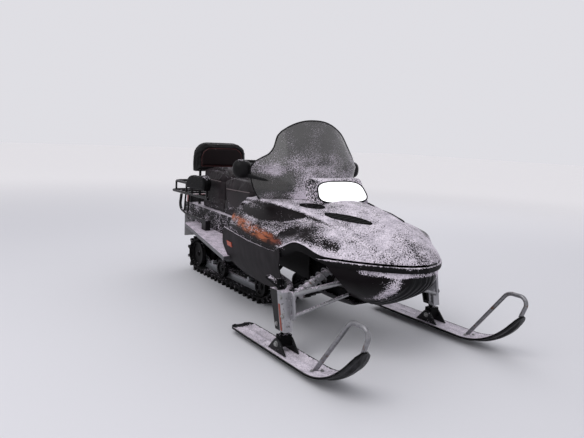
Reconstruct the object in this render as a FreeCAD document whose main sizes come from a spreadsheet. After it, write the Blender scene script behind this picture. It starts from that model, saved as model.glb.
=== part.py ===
"""A two-up touring snowmobile, millimetres, X forward, Y to the rider's left, Z up.

The origin is on the floor, under the middle of the machine. The wear bars of the
skis and the lugs of the track stand on Z = 0.
"""
import FreeCAD
import Part
import math
import os
from FreeCAD import Placement, Rotation, Vector

os.makedirs("parts", exist_ok=True)
doc = FreeCAD.newDocument("Snowmobile")
sheet = doc.addObject("Spreadsheet::Sheet", "Sizes")

# Driving dimensions: name, millimetres or degrees, what it measures
SIZES = (
    ("ski_stance", 1067, "between the centre lines of the skis"),
    ("ski_width", 150, "ski blade, across"),
    ("ski_thick", 12, "ski blade"),
    ("ski_deck", 24, "floor to the underside of the blade"),
    ("ski_keel", 34, "keel under the blade, across"),
    ("ski_tail", 350, "X of the ski's tail"),
    ("ski_bend", 1075, "X where the ski starts to turn up"),
    ("ski_curve", 400, "radius of the turned up tip"),
    ("ski_sweep", 62, "angle of the turned up tip"),
    ("loop_tube", 22, "steel tube of the ski's handle"),
    ("loop_ahead", 20.4, "the ski's tip to the middle of the handle's foremost tube"),
    ("loop_high", 340, "Z of the handle's top, middle of the tube"),
    ("wear_bar", 12, "wear bar, diameter"),
    ("kingpin_x", 800, "X of the kingpin at its foot"),
    ("kingpin_rake", 12, "rearward lean of the kingpin, degrees"),
    ("kingpin_bar", 26, "kingpin, diameter"),
    ("kingpin_gap", 1, "running clearance of the kingpin"),
    ("housing_long", 118, "ski leg housing, fore and aft"),
    ("housing_wide", 46, "ski leg housing, across"),
    ("housing_low", 140, "Z of the housing's underside"),
    ("housing_high", 338, "Z of the housing's top"),
    ("arm_tube", 42, "trailing arm, tube diameter"),
    ("rod_tube", 18, "radius rod, diameter"),
    ("shock_body", 40, "front shock, cylinder diameter"),
    ("coil_wire", 9, "front shock, spring wire"),
    ("coil_wide", 66, "front shock, spring outside diameter"),
    ("track_width", 381, "track, across"),
    ("track_band", 8, "track, rubber band"),
    ("track_lug", 32, "track, height of a lug"),
    ("track_pitch", 64, "track, lug to lug"),
    ("idler_radius", 98, "rear idler wheel"),
    ("idler_x", -1065, "X of the rear axle"),
    ("bend_radius", 200, "turn-up of the slide rails"),
    ("bend_x", -60, "X where the slide rails turn up"),
    ("carrier_radius", 44, "carrier wheel under the track's upper run"),
    ("carrier_x", -560, "X of the carrier wheels' shaft"),
    ("carrier_z", 388, "Z of the carrier wheels' shaft"),
    ("sprocket_radius", 90, "drive sprocket"),
    ("sprocket_x", 400, "X of the drive axle"),
    ("sprocket_z", 345, "Z of the drive axle"),
    ("rail_high", 46, "slide rail, height"),
    ("rail_wide", 20, "slide rail, thickness"),
    ("rail_apart", 220, "between the slide rails' middles"),
    ("track_gap", 14.5, "track to tunnel, on each side"),
    ("tunnel_sheet", 5, "tunnel, sheet thickness"),
    ("tunnel_front", 545, "X of the tunnel's front end"),
    ("tunnel_rear", -1235, "X of the tunnel's rear end"),
    ("tunnel_high_front", 500, "Z of the tunnel's top at its front"),
    ("tunnel_high_rear", 548, "Z of the tunnel's top at its rear"),
    ("board_front", 345, "Z of the running board at its front"),
    ("board_rear", 412, "Z of the running board at its rear"),
    ("board_sheet", 5, "running board, sheet thickness"),
    ("board_lip", 26, "running board, turned down edge"),
    ("board_wide_front", 480, "centre line to the board's edge, at its front"),
    ("board_wide_rear", 318, "centre line to the board's edge, at its rear"),
    ("hood_wall", 8, "hood, moulding thickness"),
    ("leaf_deep", 5, "leaf-shaped hollow in the hood's flank, depth"),
    ("lip_gap", 7, "between hood and lower body"),
    ("pan_wall", 6, "lower body, moulding thickness"),
    ("rib_pitch", 34, "chin ribs, groove to groove"),
    ("rib_deep", 3, "chin ribs, depth of a groove"),
    ("engine_long", 260, "engine block, fore and aft"),
    ("engine_high", 200, "engine block, height"),
    ("engine_gap", 25, "engine block to the tunnel's side line"),
    ("glass", 4, "windshield thickness"),
    ("bar_tube", 22, "handlebar, diameter"),
    ("bar_width", 680, "handlebar, end to end"),
    ("bar_high", 935, "Z of the grips"),
    ("grip_long", 118, "grip, length"),
    ("grip_wide", 34, "grip, diameter"),
    ("post_tube", 30, "steering post, diameter"),
    ("post_well", 92, "well in the console round the steering post"),
    ("console_width", 380, "console, across"),
    ("console_high", 772, "Z of the console's top"),
    ("seat_width", 370, "rider's seat, across"),
    ("seat_front", -155, "X of the seat's front end"),
    ("seat_split", -602.5, "X between the two seats"),
    ("seat_rear", -980, "X of the passenger seat's rear end"),
    ("seat_high", 812, "Z of the rider's seat"),
    ("passenger_width", 350, "passenger seat, across"),
    ("passenger_high", 846, "Z of the passenger seat"),
    ("backrest_x", -1062, "X of the backrest pad's rear face"),
    ("backrest_thick", 72, "backrest pad, fore and aft"),
    ("backrest_width", 456, "backrest pad, across"),
    ("backrest_low", 800, "Z of the backrest pad's foot"),
    ("backrest_high", 1042, "Z of the backrest pad's head"),
    ("guard_inner", 236, "centre line to a grab guard's inner face"),
    ("guard_thick", 60, "grab guard, across"),
    ("rack_tube", 20, "luggage rack, tube diameter"),
    ("rack_width", 500, "luggage rack, across its outer tubes"),
    ("rack_low", 626, "Z of the rack's lower hoop"),
    ("rack_high", 708, "Z of the rack's upper hoop"),
    ("rack_behind", 209, "rack's rearmost point behind the tunnel's end"),
    ("rail_bar", 22, "side rail, tube diameter"),
    ("rail_line", 262, "centre line to a side rail"),
    ("hitch_long", 97, "hitch pin's axis behind the tunnel's end"),
    ("hitch_sheet", 8, "hitch plate and snow flap, thickness"),
    ("pin_hole", 19, "hitch pin hole, diameter"),
    ("tongue_thick", 12, "hitch tongue, thickness"),
    ("tongue_low", 486, "Z of the hitch tongue's underside"),
    ("flap_low", 262, "Z of the snow flap's lower edge"),
)
for row, (alias, number, meaning) in enumerate(SIZES, start=1):
    sheet.set("A%d" % row, meaning)
    sheet.set("B%d" % row, str(number))
    sheet.setAlias("B%d" % row, alias)
doc.recompute()


class Dimensions:
    """Reads a driving dimension from the sheet by its name."""

    def __getattr__(self, alias):
        return float(sheet.get(alias))


d = Dimensions()
nodes = []


def keep(label, thing):
    """Give a finished piece its name and list it for export."""
    thing.Label = label
    nodes.append(thing)
    return thing


def solid(label, shape):
    """A piece whose shape is worked out below from the sheet's sizes."""
    thing = doc.addObject("Part::Feature", label)
    thing.Shape = shape
    thing.Placement = Placement()
    return keep(label, thing)


def edges(outline, place):
    """Lines and arcs through an outline: (a, b) is a corner, (a, b, c, d) ends an arc by way of c, d."""
    made = []
    ring = list(outline)
    if tuple(ring[-1][:2]) != tuple(ring[0][:2]):
        ring.append(ring[0][:2])
    for start, end in zip(ring, ring[1:]):
        if len(end) == 4:
            made.append(Part.Arc(place(*start[:2]), place(*end[2:]), place(*end[:2])))
        else:
            made.append(Part.LineSegment(place(*start[:2]), place(*end)))
    return made


def wire(outline, place):
    """A closed wire of the outline, put in space by the function place."""
    return Part.Wire([edge.toShape() for edge in edges(outline, place)])


def across(x):
    """An outline drawn as (y, z) at one X."""
    return lambda y, z: Vector(x, y, z)


def beside(y):
    """An outline drawn as (x, z) at one Y."""
    return lambda x, z: Vector(x, y, z)


def level(z):
    """An outline drawn as (x, y) at one Z."""
    return lambda x, y: Vector(x, y, z)


def slab(outline, place, depth):
    """A flat outline pushed along depth."""
    return Part.Face(wire(outline, place)).extrude(depth)


def side_slab(outline, near, far):
    """An (x, z) outline between two Y."""
    return slab(outline, beside(near), Vector(0, far - near, 0))


def both_sides(shape):
    """The piece and its mirror image over the centre line, left one first."""
    return Part.makeCompound([shape, mirrored(shape)])


def mirrored(shape):
    return shape.mirror(Vector(0, 0, 0), Vector(0, 1, 0))


def rod(start, end, diameter):
    """A round bar between two points."""
    start, end = Vector(*start), Vector(*end)
    return Part.makeCylinder(diameter / 2, (end - start).Length, start, end - start)


def tube(route, diameter, bend):
    """A round bar along straight runs joined by tangent arcs."""
    points = [Vector(*point) for point in route]
    path = []
    start = points[0]
    for before, corner, after in zip(points, points[1:], points[2:]):
        back = (before - corner).normalize()
        ahead = (after - corner).normalize()
        half = back.getAngle(ahead) / 2
        run = min(bend / math.tan(half), 0.48 * min((before - corner).Length, (after - corner).Length))
        middle = (back + ahead).normalize()
        radius = run * math.tan(half)
        centre = corner + middle * (run / math.cos(half))
        path.append(Part.LineSegment(start, corner + back * run).toShape())
        path.append(Part.Arc(corner + back * run, centre - middle * radius, corner + ahead * run).toShape())
        start = corner + ahead * run
    path.append(Part.LineSegment(start, points[-1]).toShape())
    ring = Part.makeCircle(diameter / 2, points[0], points[1] - points[0])
    return Part.Wire(path).makePipeShell([Part.Wire(ring)], True, False)


def draw(body, plane, outlines, offset=0):
    """A sketch of closed outlines on one of the body's own origin planes."""
    sketch = body.newObject("Sketcher::SketchObject", "Outline")
    base = next(item for item in body.Origin.OriginFeatures if item.Role == plane)
    sketch.AttachmentSupport = [(base, "")]
    sketch.MapMode = "FlatFace"
    sketch.AttachmentOffset = Placement(Vector(0, 0, offset), Rotation())
    for outline in outlines:
        sketch.addGeometry(edges(outline, lambda a, b: Vector(a, b, 0)))
    return sketch


def pad(body, sketch, length):
    """Push a sketch both ways, to the length that the expression gives."""
    feature = body.newObject("PartDesign::Pad", "Pad")
    feature.Profile = sketch
    feature.SideType = "Symmetric"
    feature.setExpression("Length", length)
    return feature


def pocket(body, sketch, length):
    """Cut a sketch both ways, to the length that the expression gives."""
    feature = body.newObject("PartDesign::Pocket", "Pocket")
    feature.Profile = sketch
    feature.SideType = "Symmetric"
    feature.setExpression("Length", length)
    return feature


def bound(feature, **expressions):
    """Tie a feature's properties to the sheet."""
    for name, expression in expressions.items():
        feature.setExpression(name, expression)
    return feature


half_stance = d.ski_stance / 2
tunnel_side = d.track_width / 2 + d.track_gap
TUNNEL_WIDTH = "Sizes.track_width + 2 * Sizes.track_gap"


# Track: the inner line of the band runs over the rear idler, the rails' bend and the sprocket
lug_tip = d.track_band + d.track_lug
idler_z = lug_tip + d.idler_radius
idler = (Vector(d.idler_x, 0, idler_z), d.idler_radius)
rail_bend = (Vector(d.bend_x, 0, lug_tip + d.bend_radius), d.bend_radius)
sprocket = (Vector(d.sprocket_x, 0, d.sprocket_z), d.sprocket_radius)
carrier = (Vector(d.carrier_x, 0, d.carrier_z), d.carrier_radius)
loop_wheels = (idler, rail_bend, sprocket, carrier)


def tangent(wheel_a, wheel_b):
    """The outward normal of the belt line that runs from wheel a to wheel b, keeping both on its left."""
    (centre_a, radius_a), (centre_b, radius_b) = wheel_a, wheel_b
    along = centre_b - centre_a
    heading = math.atan2(along.z, along.x)
    lean = math.asin((radius_a - radius_b) / along.Length)
    turn = heading - math.pi / 2 + lean
    return Vector(math.cos(turn), 0, math.sin(turn))


def belt(offset):
    """The loop at an offset outside the inner line: lists of (kind, data) along the way round."""
    wheels = loop_wheels
    count = len(wheels)
    normals = [tangent(wheels[i], wheels[(i + 1) % count]) for i in range(count)]
    pieces = []
    for i in range(count):
        centre, radius = wheels[i]
        start = math.atan2(normals[i - 1].z, normals[i - 1].x)
        end = math.atan2(normals[i].z, normals[i].x)
        while end < start:
            end += 2 * math.pi
        pieces.append(("arc", centre, radius + offset, start, end))
        after, after_radius = wheels[(i + 1) % count]
        pieces.append(("run", centre + normals[i] * (radius + offset), after + normals[i] * (after_radius + offset)))
    return pieces


def belt_wire(offset):
    """The loop as arcs and lines."""
    made = []
    for piece in belt(offset):
        if piece[0] == "run":
            made.append(Part.LineSegment(piece[1], piece[2]).toShape())
        else:
            _, centre, radius, start, end = piece
            spots = [centre + Vector(math.cos(a), 0, math.sin(a)) * radius for a in (start, (start + end) / 2, end)]
            made.append(Part.Arc(*spots).toShape())
    return Part.Wire(made)


def lugged_outline():
    """Points round the band's outside, with one tapered lug at each pitch."""
    line = belt_wire(d.track_band)
    count = round(line.Length / d.track_pitch)
    step = line.Length / count
    foot, crest = 0.19 * step, 0.11 * step
    ordered = Part.__sortEdges__(line.Edges)
    lengths = [edge.Length for edge in ordered]
    centre = Vector(d.bend_x, 0, idler_z)

    def spot(distance, height):
        distance %= sum(lengths)
        for edge, length in zip(ordered, lengths):
            if distance <= length:
                break
            distance -= length
        parameter = edge.getParameterByLength(distance)
        if edge.Orientation == "Reversed":
            parameter = edge.getParameterByLength(length - distance)
        at = edge.valueAt(parameter)
        along = edge.tangentAt(parameter)
        out = Vector(along.z, 0, -along.x)
        if (at + out - centre).Length < (at - out - centre).Length:
            out = out * -1
        return at + out * height

    points = []
    for number in range(count):
        middle = (number + 0.5) * step
        points.append(spot(middle - foot, 0))
        points.append(spot(middle - crest, d.track_lug))
        points.append(spot(middle + crest, d.track_lug))
        points.append(spot(middle + foot, 0))
    return points


half_track = Vector(0, d.track_width / 2, 0)
outer_points = lugged_outline()
outer_face = Part.Face(Part.makePolygon(outer_points + outer_points[:1]))
inner_face = Part.Face(belt_wire(0))
track = outer_face.cut(inner_face).translated(-half_track).extrude(half_track * 2)
solid("track", track.Solids[0])

# Drive axle with its two sprockets, inside the front of the track
sprocket_wide = 40
sprocket_places = (-120, 80)
tunnel_inner = tunnel_side - d.tunnel_sheet
drive = rod((d.sprocket_x, -tunnel_inner, d.sprocket_z), (d.sprocket_x, tunnel_inner, d.sprocket_z), 28)
for place in sprocket_places:
    start = (d.sprocket_x, place, d.sprocket_z)
    drive = drive.fuse(rod(start, (d.sprocket_x, place + sprocket_wide, d.sprocket_z), 2 * d.sprocket_radius - 2))
solid("drive_axle", drive)

# Slide rails on the band, turned up at the front, joined by cross tubes
rail_foot = lug_tip
rail_head = rail_foot + d.rail_high
rail_rear = d.idler_x + 60
bend_centre = rail_bend[0]
bend_angle = math.radians(24)


def on_bend(radius, angle):
    """A point on the rails' turned up front, as (x, z)."""
    return (bend_centre.x + radius * math.sin(angle), bend_centre.z - radius * math.cos(angle))


inside = d.bend_radius - d.rail_high
rail_outline = (
    (rail_rear, rail_foot),
    (d.bend_x, rail_foot),
    on_bend(d.bend_radius, bend_angle) + on_bend(d.bend_radius, bend_angle / 2),
    on_bend(inside, bend_angle),
    (d.bend_x, rail_head) + on_bend(inside, bend_angle / 2),
    (rail_rear + 40, rail_head),
)
plate_outline = (
    (d.idler_x - 26, idler_z - 26), (d.idler_x + 26, idler_z - 26), (rail_rear + 90, rail_foot + 8),
    (rail_rear + 90, rail_head - 4), (d.idler_x, idler_z + 26), (d.idler_x - 26, idler_z + 26),
)
rails = None
for side in (-1, 1):
    middle = side * d.rail_apart / 2
    rail = side_slab(rail_outline, middle - d.rail_wide / 2, middle + d.rail_wide / 2)
    axle_plate = side_slab(plate_outline, middle - d.rail_wide / 2, middle + d.rail_wide / 2)
    rail = rail.fuse(axle_plate)
    rails = rail if rails is None else rails.fuse(rail)
cross_tubes = ((-880, rail_head + 14), (-300, rail_head + 14))
half_apart = (d.rail_apart + d.rail_wide) / 2
for x, z in cross_tubes:
    rails = rails.fuse(rod((x, -half_apart, z), (x, half_apart, z), 30))
rear_axle = rod((d.idler_x, -170, idler_z), (d.idler_x, 170, idler_z), 24)
rails = rails.cut(rear_axle)
solid("slide_rails", rails)

# Idlers: rim, web and hub turned about the axle; the bogies ride on short stub shafts beside the rails
def wheel(radius, wide, hub):
    """A wheel about the Y axis, its middle at the origin."""
    profile = ((hub / 2, -wide * 0.45), (hub / 2 + 10, -wide * 0.45), (hub / 2 + 10, -4), (radius - 16, -4),
               (radius - 16, -wide / 2), (radius, -wide / 2), (radius, wide / 2), (radius - 16, wide / 2),
               (radius - 16, 4), (hub / 2 + 10, 4), (hub / 2 + 10, wide * 0.45), (hub / 2, wide * 0.45))
    face = Part.Face(wire(profile, lambda r, y: Vector(r, y, 0)))
    return face.revolve(Vector(0, 0, 0), Vector(0, 1, 0), 360)


axle_wheels = [(d.idler_x, y, idler_z, d.idler_radius - 1) for y in (-150, -70, 70, 150)]
bogie_radius = 66
bogies = [(x, y, lug_tip + bogie_radius + 1, bogie_radius) for x in (-640, -60) for y in (-150, 150)]
wheels = [rear_axle]
for x, y, z, radius in axle_wheels:
    wheels.append(wheel(radius, 30, 24).translated(Vector(x, y, z)))
for x, y, z, radius in bogies:
    inner = math.copysign(half_apart, y)
    wheels.append(wheel(radius, 30, 20).translated(Vector(x, y, z)))
    wheels.append(rod((x, inner, z), (x, y + math.copysign(16, y), z), 20))
for y in (-110, 110):
    wheels.append(wheel(d.carrier_radius - 1, 30, 26.2).translated(Vector(d.carrier_x, y, d.carrier_z)))
solid("idler_wheels", wheels[0].multiFuse(wheels[1:]))

# Rear suspension: two swinging arms and two dampers between rails and tunnel
upper_shaft = (d.carrier_x, d.carrier_z)
arm_routes = (((-300, rail_head + 14), (-20, 352)), ((-880, rail_head + 14), upper_shaft))
suspension = []
for (low_x, low_z), (high_x, high_z) in arm_routes:
    for y in (-80, 80):
        suspension.append(rod((low_x + 20, y, low_z + 12), (high_x, y, high_z), 26))
    suspension.append(rod((high_x, -tunnel_inner, high_z), (high_x, tunnel_inner, high_z), 26))
for (low_x, low_z), (high_x, high_z) in (((-300, rail_head + 14), upper_shaft),):
    suspension.append(rod((low_x - 16, 0, low_z + 20), (high_x + 8, 0, high_z - 8), 44))
arms = suspension[0].multiFuse(suspension[1:])
solid("track_suspension", arms.cut(rails))


# Tunnel: folded sheet over the track, open below, with its floor line rising to the rear
def along_tunnel(x, front, rear):
    """The height at X of a line given at the tunnel's front and rear."""
    share = (x - d.tunnel_front) / (d.tunnel_rear - d.tunnel_front)
    return front + share * (rear - front)


def tunnel_top(x):
    return along_tunnel(x, d.tunnel_high_front, d.tunnel_high_rear)


def board_top(x):
    return along_tunnel(x, d.board_front - 18, d.board_rear + 14)


tunnel = doc.addObject("PartDesign::Body", "tunnel")
front, rear = d.tunnel_front, d.tunnel_rear
skirt = 20
side_view = (
    (front, board_top(front) - skirt), (front, tunnel_top(front)),
    (rear, tunnel_top(rear)), (rear, board_top(rear) + 30), (rear + 60, board_top(rear) - skirt),
)
pad(tunnel, draw(tunnel, "XZ_Plane", (side_view,)), TUNNEL_WIDTH)
sheet_gap = d.tunnel_sheet
hollow = (
    (front + 5, 0), (front + 5, tunnel_top(front) - sheet_gap),
    (rear - 5, tunnel_top(rear) - sheet_gap), (rear - 5, 0),
)
pocket(tunnel, draw(tunnel, "XZ_Plane", (hollow,)), TUNNEL_WIDTH + " - 2 * Sizes.tunnel_sheet")
doc.recompute()
keep("tunnel", tunnel)

# Running boards: sheet with a turned down edge, narrower to the rear
board_front_x, board_rear_x = 20, -1000
boards = []
board_plan = ((board_front_x, tunnel_side), (board_front_x, d.board_wide_front),
              (board_rear_x + 30, d.board_wide_rear), (board_rear_x, d.board_wide_rear - 30), (board_rear_x, tunnel_side))
strip = ((board_front_x, board_top(board_front_x)), (board_rear_x, board_top(board_rear_x)),
         (board_rear_x, board_top(board_rear_x) - d.board_lip), (board_front_x, board_top(board_front_x) - d.board_lip))
under = ((board_front_x + 5, board_top(board_front_x + 5) - d.board_sheet),
         (board_rear_x - 5, board_top(board_rear_x - 5) - d.board_sheet),
         (board_rear_x - 5, 0), (board_front_x + 5, 0))
board = slab(board_plan, level(0), Vector(0, 0, 1000)).common(side_slab(strip, 0, 600))
inner_front = board_front_x - d.board_sheet
inner_plan = ((inner_front, tunnel_side), (inner_front, d.board_wide_front - d.board_sheet),
              (board_rear_x + 30, d.board_wide_rear - d.board_sheet),
              (board_rear_x + d.board_sheet, d.board_wide_rear - 30), (board_rear_x + d.board_sheet, tunnel_side))
board = board.cut(slab(inner_plan, level(0), Vector(0, 0, 1000)).common(side_slab(under, 0, 600)))
solid("running_boards", both_sides(board))

# Front frame: two cheek plates with lightening holes, a floor, a bulkhead against the tunnel's
# end, cross members that carry the lower body, and stub pins for the shocks
cheek_y = tunnel_side - 17
cheek_sheet = 6
frame_floor = 290
floor_low = frame_floor - cheek_sheet
firewall = d.tunnel_front + 16
shock_head = Vector(822, 212, 462)
cheek_outline = (
    (firewall, floor_low), (870, floor_low), (930, 330), (960, 362), (960, 430), (905, 480), (850, 520),
    (800, 540), (700, 540), (600, 500), (firewall, 500),
)
cheek_holes = (
    ((620, 320), (700, 320), (660, 400)),
    ((740, 320), (850, 330), (800, 400), (770, 400)),
)


def upright(x, thick, half, low, high):
    """A plate across the machine."""
    return Part.makeBox(thick, 2 * half, high - low, Vector(x, -half, low))


frame_pieces = [
    upright(firewall, 820 - firewall, cheek_y, floor_low, frame_floor),
    upright(d.tunnel_front, 16, cheek_y + cheek_sheet / 2, floor_low, 500),
    upright(d.tunnel_front, 16, 150, 232, floor_low),
    rod((780, -cheek_y, 510), (780, cheek_y, 510), 30),
]
for side in (-1, 1):
    plate = side_slab(cheek_outline, side * cheek_y - cheek_sheet / 2, side * cheek_y + cheek_sheet / 2)
    for hole in cheek_holes:
        plate = plate.cut(side_slab(hole, side * cheek_y - cheek_sheet, side * cheek_y + cheek_sheet))
    frame_pieces.append(plate)
    stub_end = (shock_head.x, side * (shock_head.y + 18), shock_head.z)
    frame_pieces.append(rod((shock_head.x, side * cheek_y, shock_head.z), stub_end, 20))
frame = frame_pieces[0].multiFuse(frame_pieces[1:])

# Engine, one plain block on the frame's floor
engine = doc.addObject("Part::Box", "engine_block")
bound(engine, Length="Sizes.engine_long", Height="Sizes.engine_high",
      Width=TUNNEL_WIDTH + " - 2 * Sizes.engine_gap")
engine.Placement = Placement(Vector(590, d.engine_gap - tunnel_side, frame_floor), Rotation())
keep("engine_block", engine)


# Hood: stations of half sections, rear to nose
# x, lip (y, z), flank (y, z), shoulder (y, z), crown z
HOOD_STATIONS = (
    (20, (443, 505), (417, 628), (325, 715), 745),
    (160, (460, 490), (430, 618), (322, 724), 757),
    (440, (477, 470), (436, 603), (297, 717), 763),
    (660, (474, 470), (440, 600), (248, 684), 750),
    (750, (468, 470), (446, 604), (237, 668), 741),
    (820, (448, 480), (418, 606), (232, 655), 730),
    (900, (397, 490), (346, 588), (222, 635), 712),
    (980, (326, 495), (288, 574), (200, 615), 688),
    (1050, (273, 500), (238, 563), (172, 595), 655),
    (1120, (214, 500), (189, 549), (140, 570), 615),
    (1180, (146, 500), (128, 538), (95, 550), 575),
    (1215, (82, 500), (69, 528), (50, 533), 546),
    (1233, (30, 500), (28, 514), (20, 524), 528),
)


def hood_section(x, lip, flank, shoulder, crown, inset):
    """A closed section of the hood, drawn inside its skin by inset."""
    (lip_y, lip_z), (flank_y, flank_z), (top_y, top_z) = lip, flank, shoulder
    lip_y, flank_y, top_y = lip_y - inset, flank_y - inset, top_y - inset
    top_z, crown = top_z - inset, crown - inset
    bottom = lip_z - (20 if inset else 0)
    return wire(((-lip_y, bottom), (lip_y, bottom), (top_y, top_z, flank_y, flank_z - inset / 2),
                 (-top_y, top_z, 0, crown), (-lip_y, bottom, -flank_y, flank_z - inset / 2)), across(x))


def hood_loft(inset, stations=HOOD_STATIONS):
    """The hood's outer form, drawn in by inset all over."""
    return Part.makeLoft([hood_section(*station, inset) for station in stations], True, True)


hood_outer = hood_loft(0)
# the inner face runs out through the rear edge and stops short of the nose
inner_stations = [(x - (14 if x > 1200 else 0), *rest) for x, *rest in HOOD_STATIONS[:-1]]
inner_stations[0] = (0,) + tuple(inner_stations[0][1:])
hood_shell = hood_outer.cut(hood_loft(d.hood_wall, inner_stations))

# Lip line seen from the side: level round the nose, over the ski leg in an arch, then along the side panel
LIP_LINE = (
    (1320, 516), (1000, 520), (888, 546), (640, 535, 765, 580), (590, 506), (474, 510), (300, 517), (160, 530), (0, 545),
)


def below_lip(drop, floor=0):
    """Everything under the lip line, lowered by drop."""
    line = [tuple(v - drop if i % 2 else v for i, v in enumerate(point)) for point in LIP_LINE]
    return side_slab([(1320, floor)] + line + [(-60, line[-1][1]), (-60, floor)], -700, 700)


hood_shell = hood_shell.cut(below_lip(0))
# the rear edge is notched round the console and the steering post
notch = slab(((-10, -205), (250, -205), (250, 205), (-10, 205)), level(600), Vector(0, 0, 400))
hood_shell = hood_shell.cut(notch)
# a shallow hollow shaped like a leaf in each flank
leaf_outline = ((35, 683), (605, 680, 340, 714), (35, 683, 400, 622))
for side in (-1, 1):
    leaf = side_slab(leaf_outline, side * 200, side * 600)
    hood_shell = hood_shell.cut(leaf.common(hood_outer).cut(hood_loft(d.leaf_deep)))
solid("hood", max(hood_shell.Solids, key=lambda piece: piece.Volume))

# Lower body: one open topped hull from the front frame to the nose, split behind the ski
# arches into the nose and the belly pan. Its rim is an upright bumper band.
# x, floor half width and z, bulge y and z, rim half width
HULL_STATIONS = (
    (545, 110, 214, 262, 305, 450),
    (700, 112, 211, 262, 305, 450),
    (820, 114, 220, 258, 318, 442),
    (905, 108, 238, 240, 333, 396),
    (1000, 92, 272, 212, 345, 308),
    (1090, 70, 314, 166, 362, 240),
    (1160, 48, 362, 116, 392, 168),
    (1200, 30, 398, 74, 418, 100),
    (1232, 10, 436, 24, 450, 34),
)
rim_z, band_top = 478, 530


def hull_loft(inset, stations=HULL_STATIONS):
    """The lower body's form, drawn in by inset; the inner ones run out at the top."""
    sections = []
    for x, floor, low, bulge_y, bulge_z, rim in stations:
        floor, bulge_y, rim = floor - inset, bulge_y - inset, rim - inset
        low, bulge_z, top = low + inset, bulge_z + inset / 2, band_top + 2 * inset
        sections.append(wire(((-floor, low), (floor, low), (rim, rim_z, bulge_y, bulge_z), (rim, top), (-rim, top),
                              (-rim, rim_z), (-floor, low, -bulge_y, bulge_z)), across(x)))
    return Part.makeLoft(sections, True, True)


hull_outer = hull_loft(0)
inner_stations = list(HULL_STATIONS[:-1])
inner_stations[0] = (530,) + HULL_STATIONS[0][1:]
hull_inner = hull_loft(d.pan_wall, inner_stations)
hull = hull_outer.cut(hull_inner)
# a ribbed chin: narrow grooves along the underside, from the frame to the nose
hull_mid = hull_loft(d.rib_deep)
for number in range(-3, 4):
    groove_y = number * d.rib_pitch
    groove = Part.makeBox(290, 8, 200, Vector(900, groove_y - 4, 200)).common(hull_outer).cut(hull_mid)
    hull = hull.cut(groove)
pan_split = 850
behind_nose = ((300, 150), (pan_split, 150), (pan_split, 262), (900, 290), (940, 345), (945, 430), (885, 560), (300, 560))
pan_side = ((545, 150), (pan_split, 150), (pan_split, 262), (700, 292), (545, 300))
nose = hull.common(below_lip(d.lip_gap)).cut(side_slab(behind_nose, -600, 600))
solid("nose_shell", max(nose.Solids, key=lambda piece: piece.Volume))
pan = hull.common(side_slab(pan_side, -600, 600))
solid("belly_pan", max(pan.Solids, key=lambda piece: piece.Volume))
# cross members of the frame reach the lower body's inner faces
for x, low, high in ((600, 200, frame_floor), (930, 400, 430)):
    frame = frame.fuse(upright(x, 12, 500, low, high).common(hull_inner))
solid("front_frame", frame.cut(hull))

# Side panels: skins that curve under towards the belly, from the footwell to the ski arch
PANEL_STATIONS = (
    # x, top (y, z), middle (y, z), foot (y, z)
    (-40, (470, 560), (462, 430), (372, 262)),
    (300, (478, 560), (466, 420), (352, 232)),
    (640, (474, 560), (462, 430), (352, 250)),
)


def panel_loft(wall, out):
    """The panel's curved strip, moved outwards by out, of a wall."""
    sections = []
    for x, top, middle, foot in PANEL_STATIONS:
        outer = [(y + out, z) for y, z in (top, middle, foot)]
        inner = [(y - wall, z) for y, z in outer]
        sections.append(wire((outer[0], outer[2] + outer[1], inner[2], inner[0] + inner[1]), across(x)))
    return Part.makeLoft(sections, True)


panel_outline = (
    (0, 540), (160, 522), (300, 508), (545, 497), (612, 520), (640, 540), (618, 420, 640, 480), (560, 268, 598, 330),
    (440, 240), (300, 238), (150, 262), (-5, 345, 60, 296), (-30, 440),
)
panel = panel_loft(d.pan_wall, 0).common(side_slab(panel_outline, 200, 600))
panel = panel.common(below_lip(d.lip_gap)).cut(board)
solid("side_panels", both_sides(max(panel.Solids, key=lambda piece: piece.Volume)))

# Front suspension on each side: trailing arm, ski leg housing, radius rods and a coil-over shock
rake = math.tan(math.radians(d.kingpin_rake))


def kingpin_x(z):
    """X of the kingpin's axis at a height."""
    return d.kingpin_x - (z - d.housing_low) * rake


def pin_point(z, y=half_stance):
    return (kingpin_x(z), y, z)


mid_z = (d.housing_low + d.housing_high) / 2
half_long = d.housing_long / 2
housing_outline = (
    (kingpin_x(d.housing_low) - half_long + 22, d.housing_low), (kingpin_x(d.housing_low) + half_long - 10, d.housing_low),
    (kingpin_x(d.housing_high) + half_long, d.housing_high), (kingpin_x(d.housing_high) - half_long, d.housing_high),
)
housing = side_slab(housing_outline, half_stance - d.housing_wide / 2, half_stance + d.housing_wide / 2)
bore = rod(pin_point(60), pin_point(430), d.kingpin_bar + 2 * d.kingpin_gap)
# the housing is a channel: open pockets behind its outer plate, round the kingpin's tube
tube_wall = rod(pin_point(d.housing_low + 1), pin_point(d.housing_high - 1), d.kingpin_bar + 14)
pocket_low, pocket_high = d.housing_low + 14, d.housing_high - 14
pocket_outline = (
    (kingpin_x(pocket_low) - half_long + 32, pocket_low), (kingpin_x(pocket_low) + half_long - 18, pocket_low),
    (kingpin_x(pocket_high) + half_long - 10, pocket_high), (kingpin_x(pocket_high) - half_long + 10, pocket_high),
)
hollow_side = side_slab(pocket_outline, half_stance - d.housing_wide / 2 - 1, half_stance + d.housing_wide / 2 - 6)
housing = housing.cut(hollow_side).fuse(tube_wall)
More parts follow.
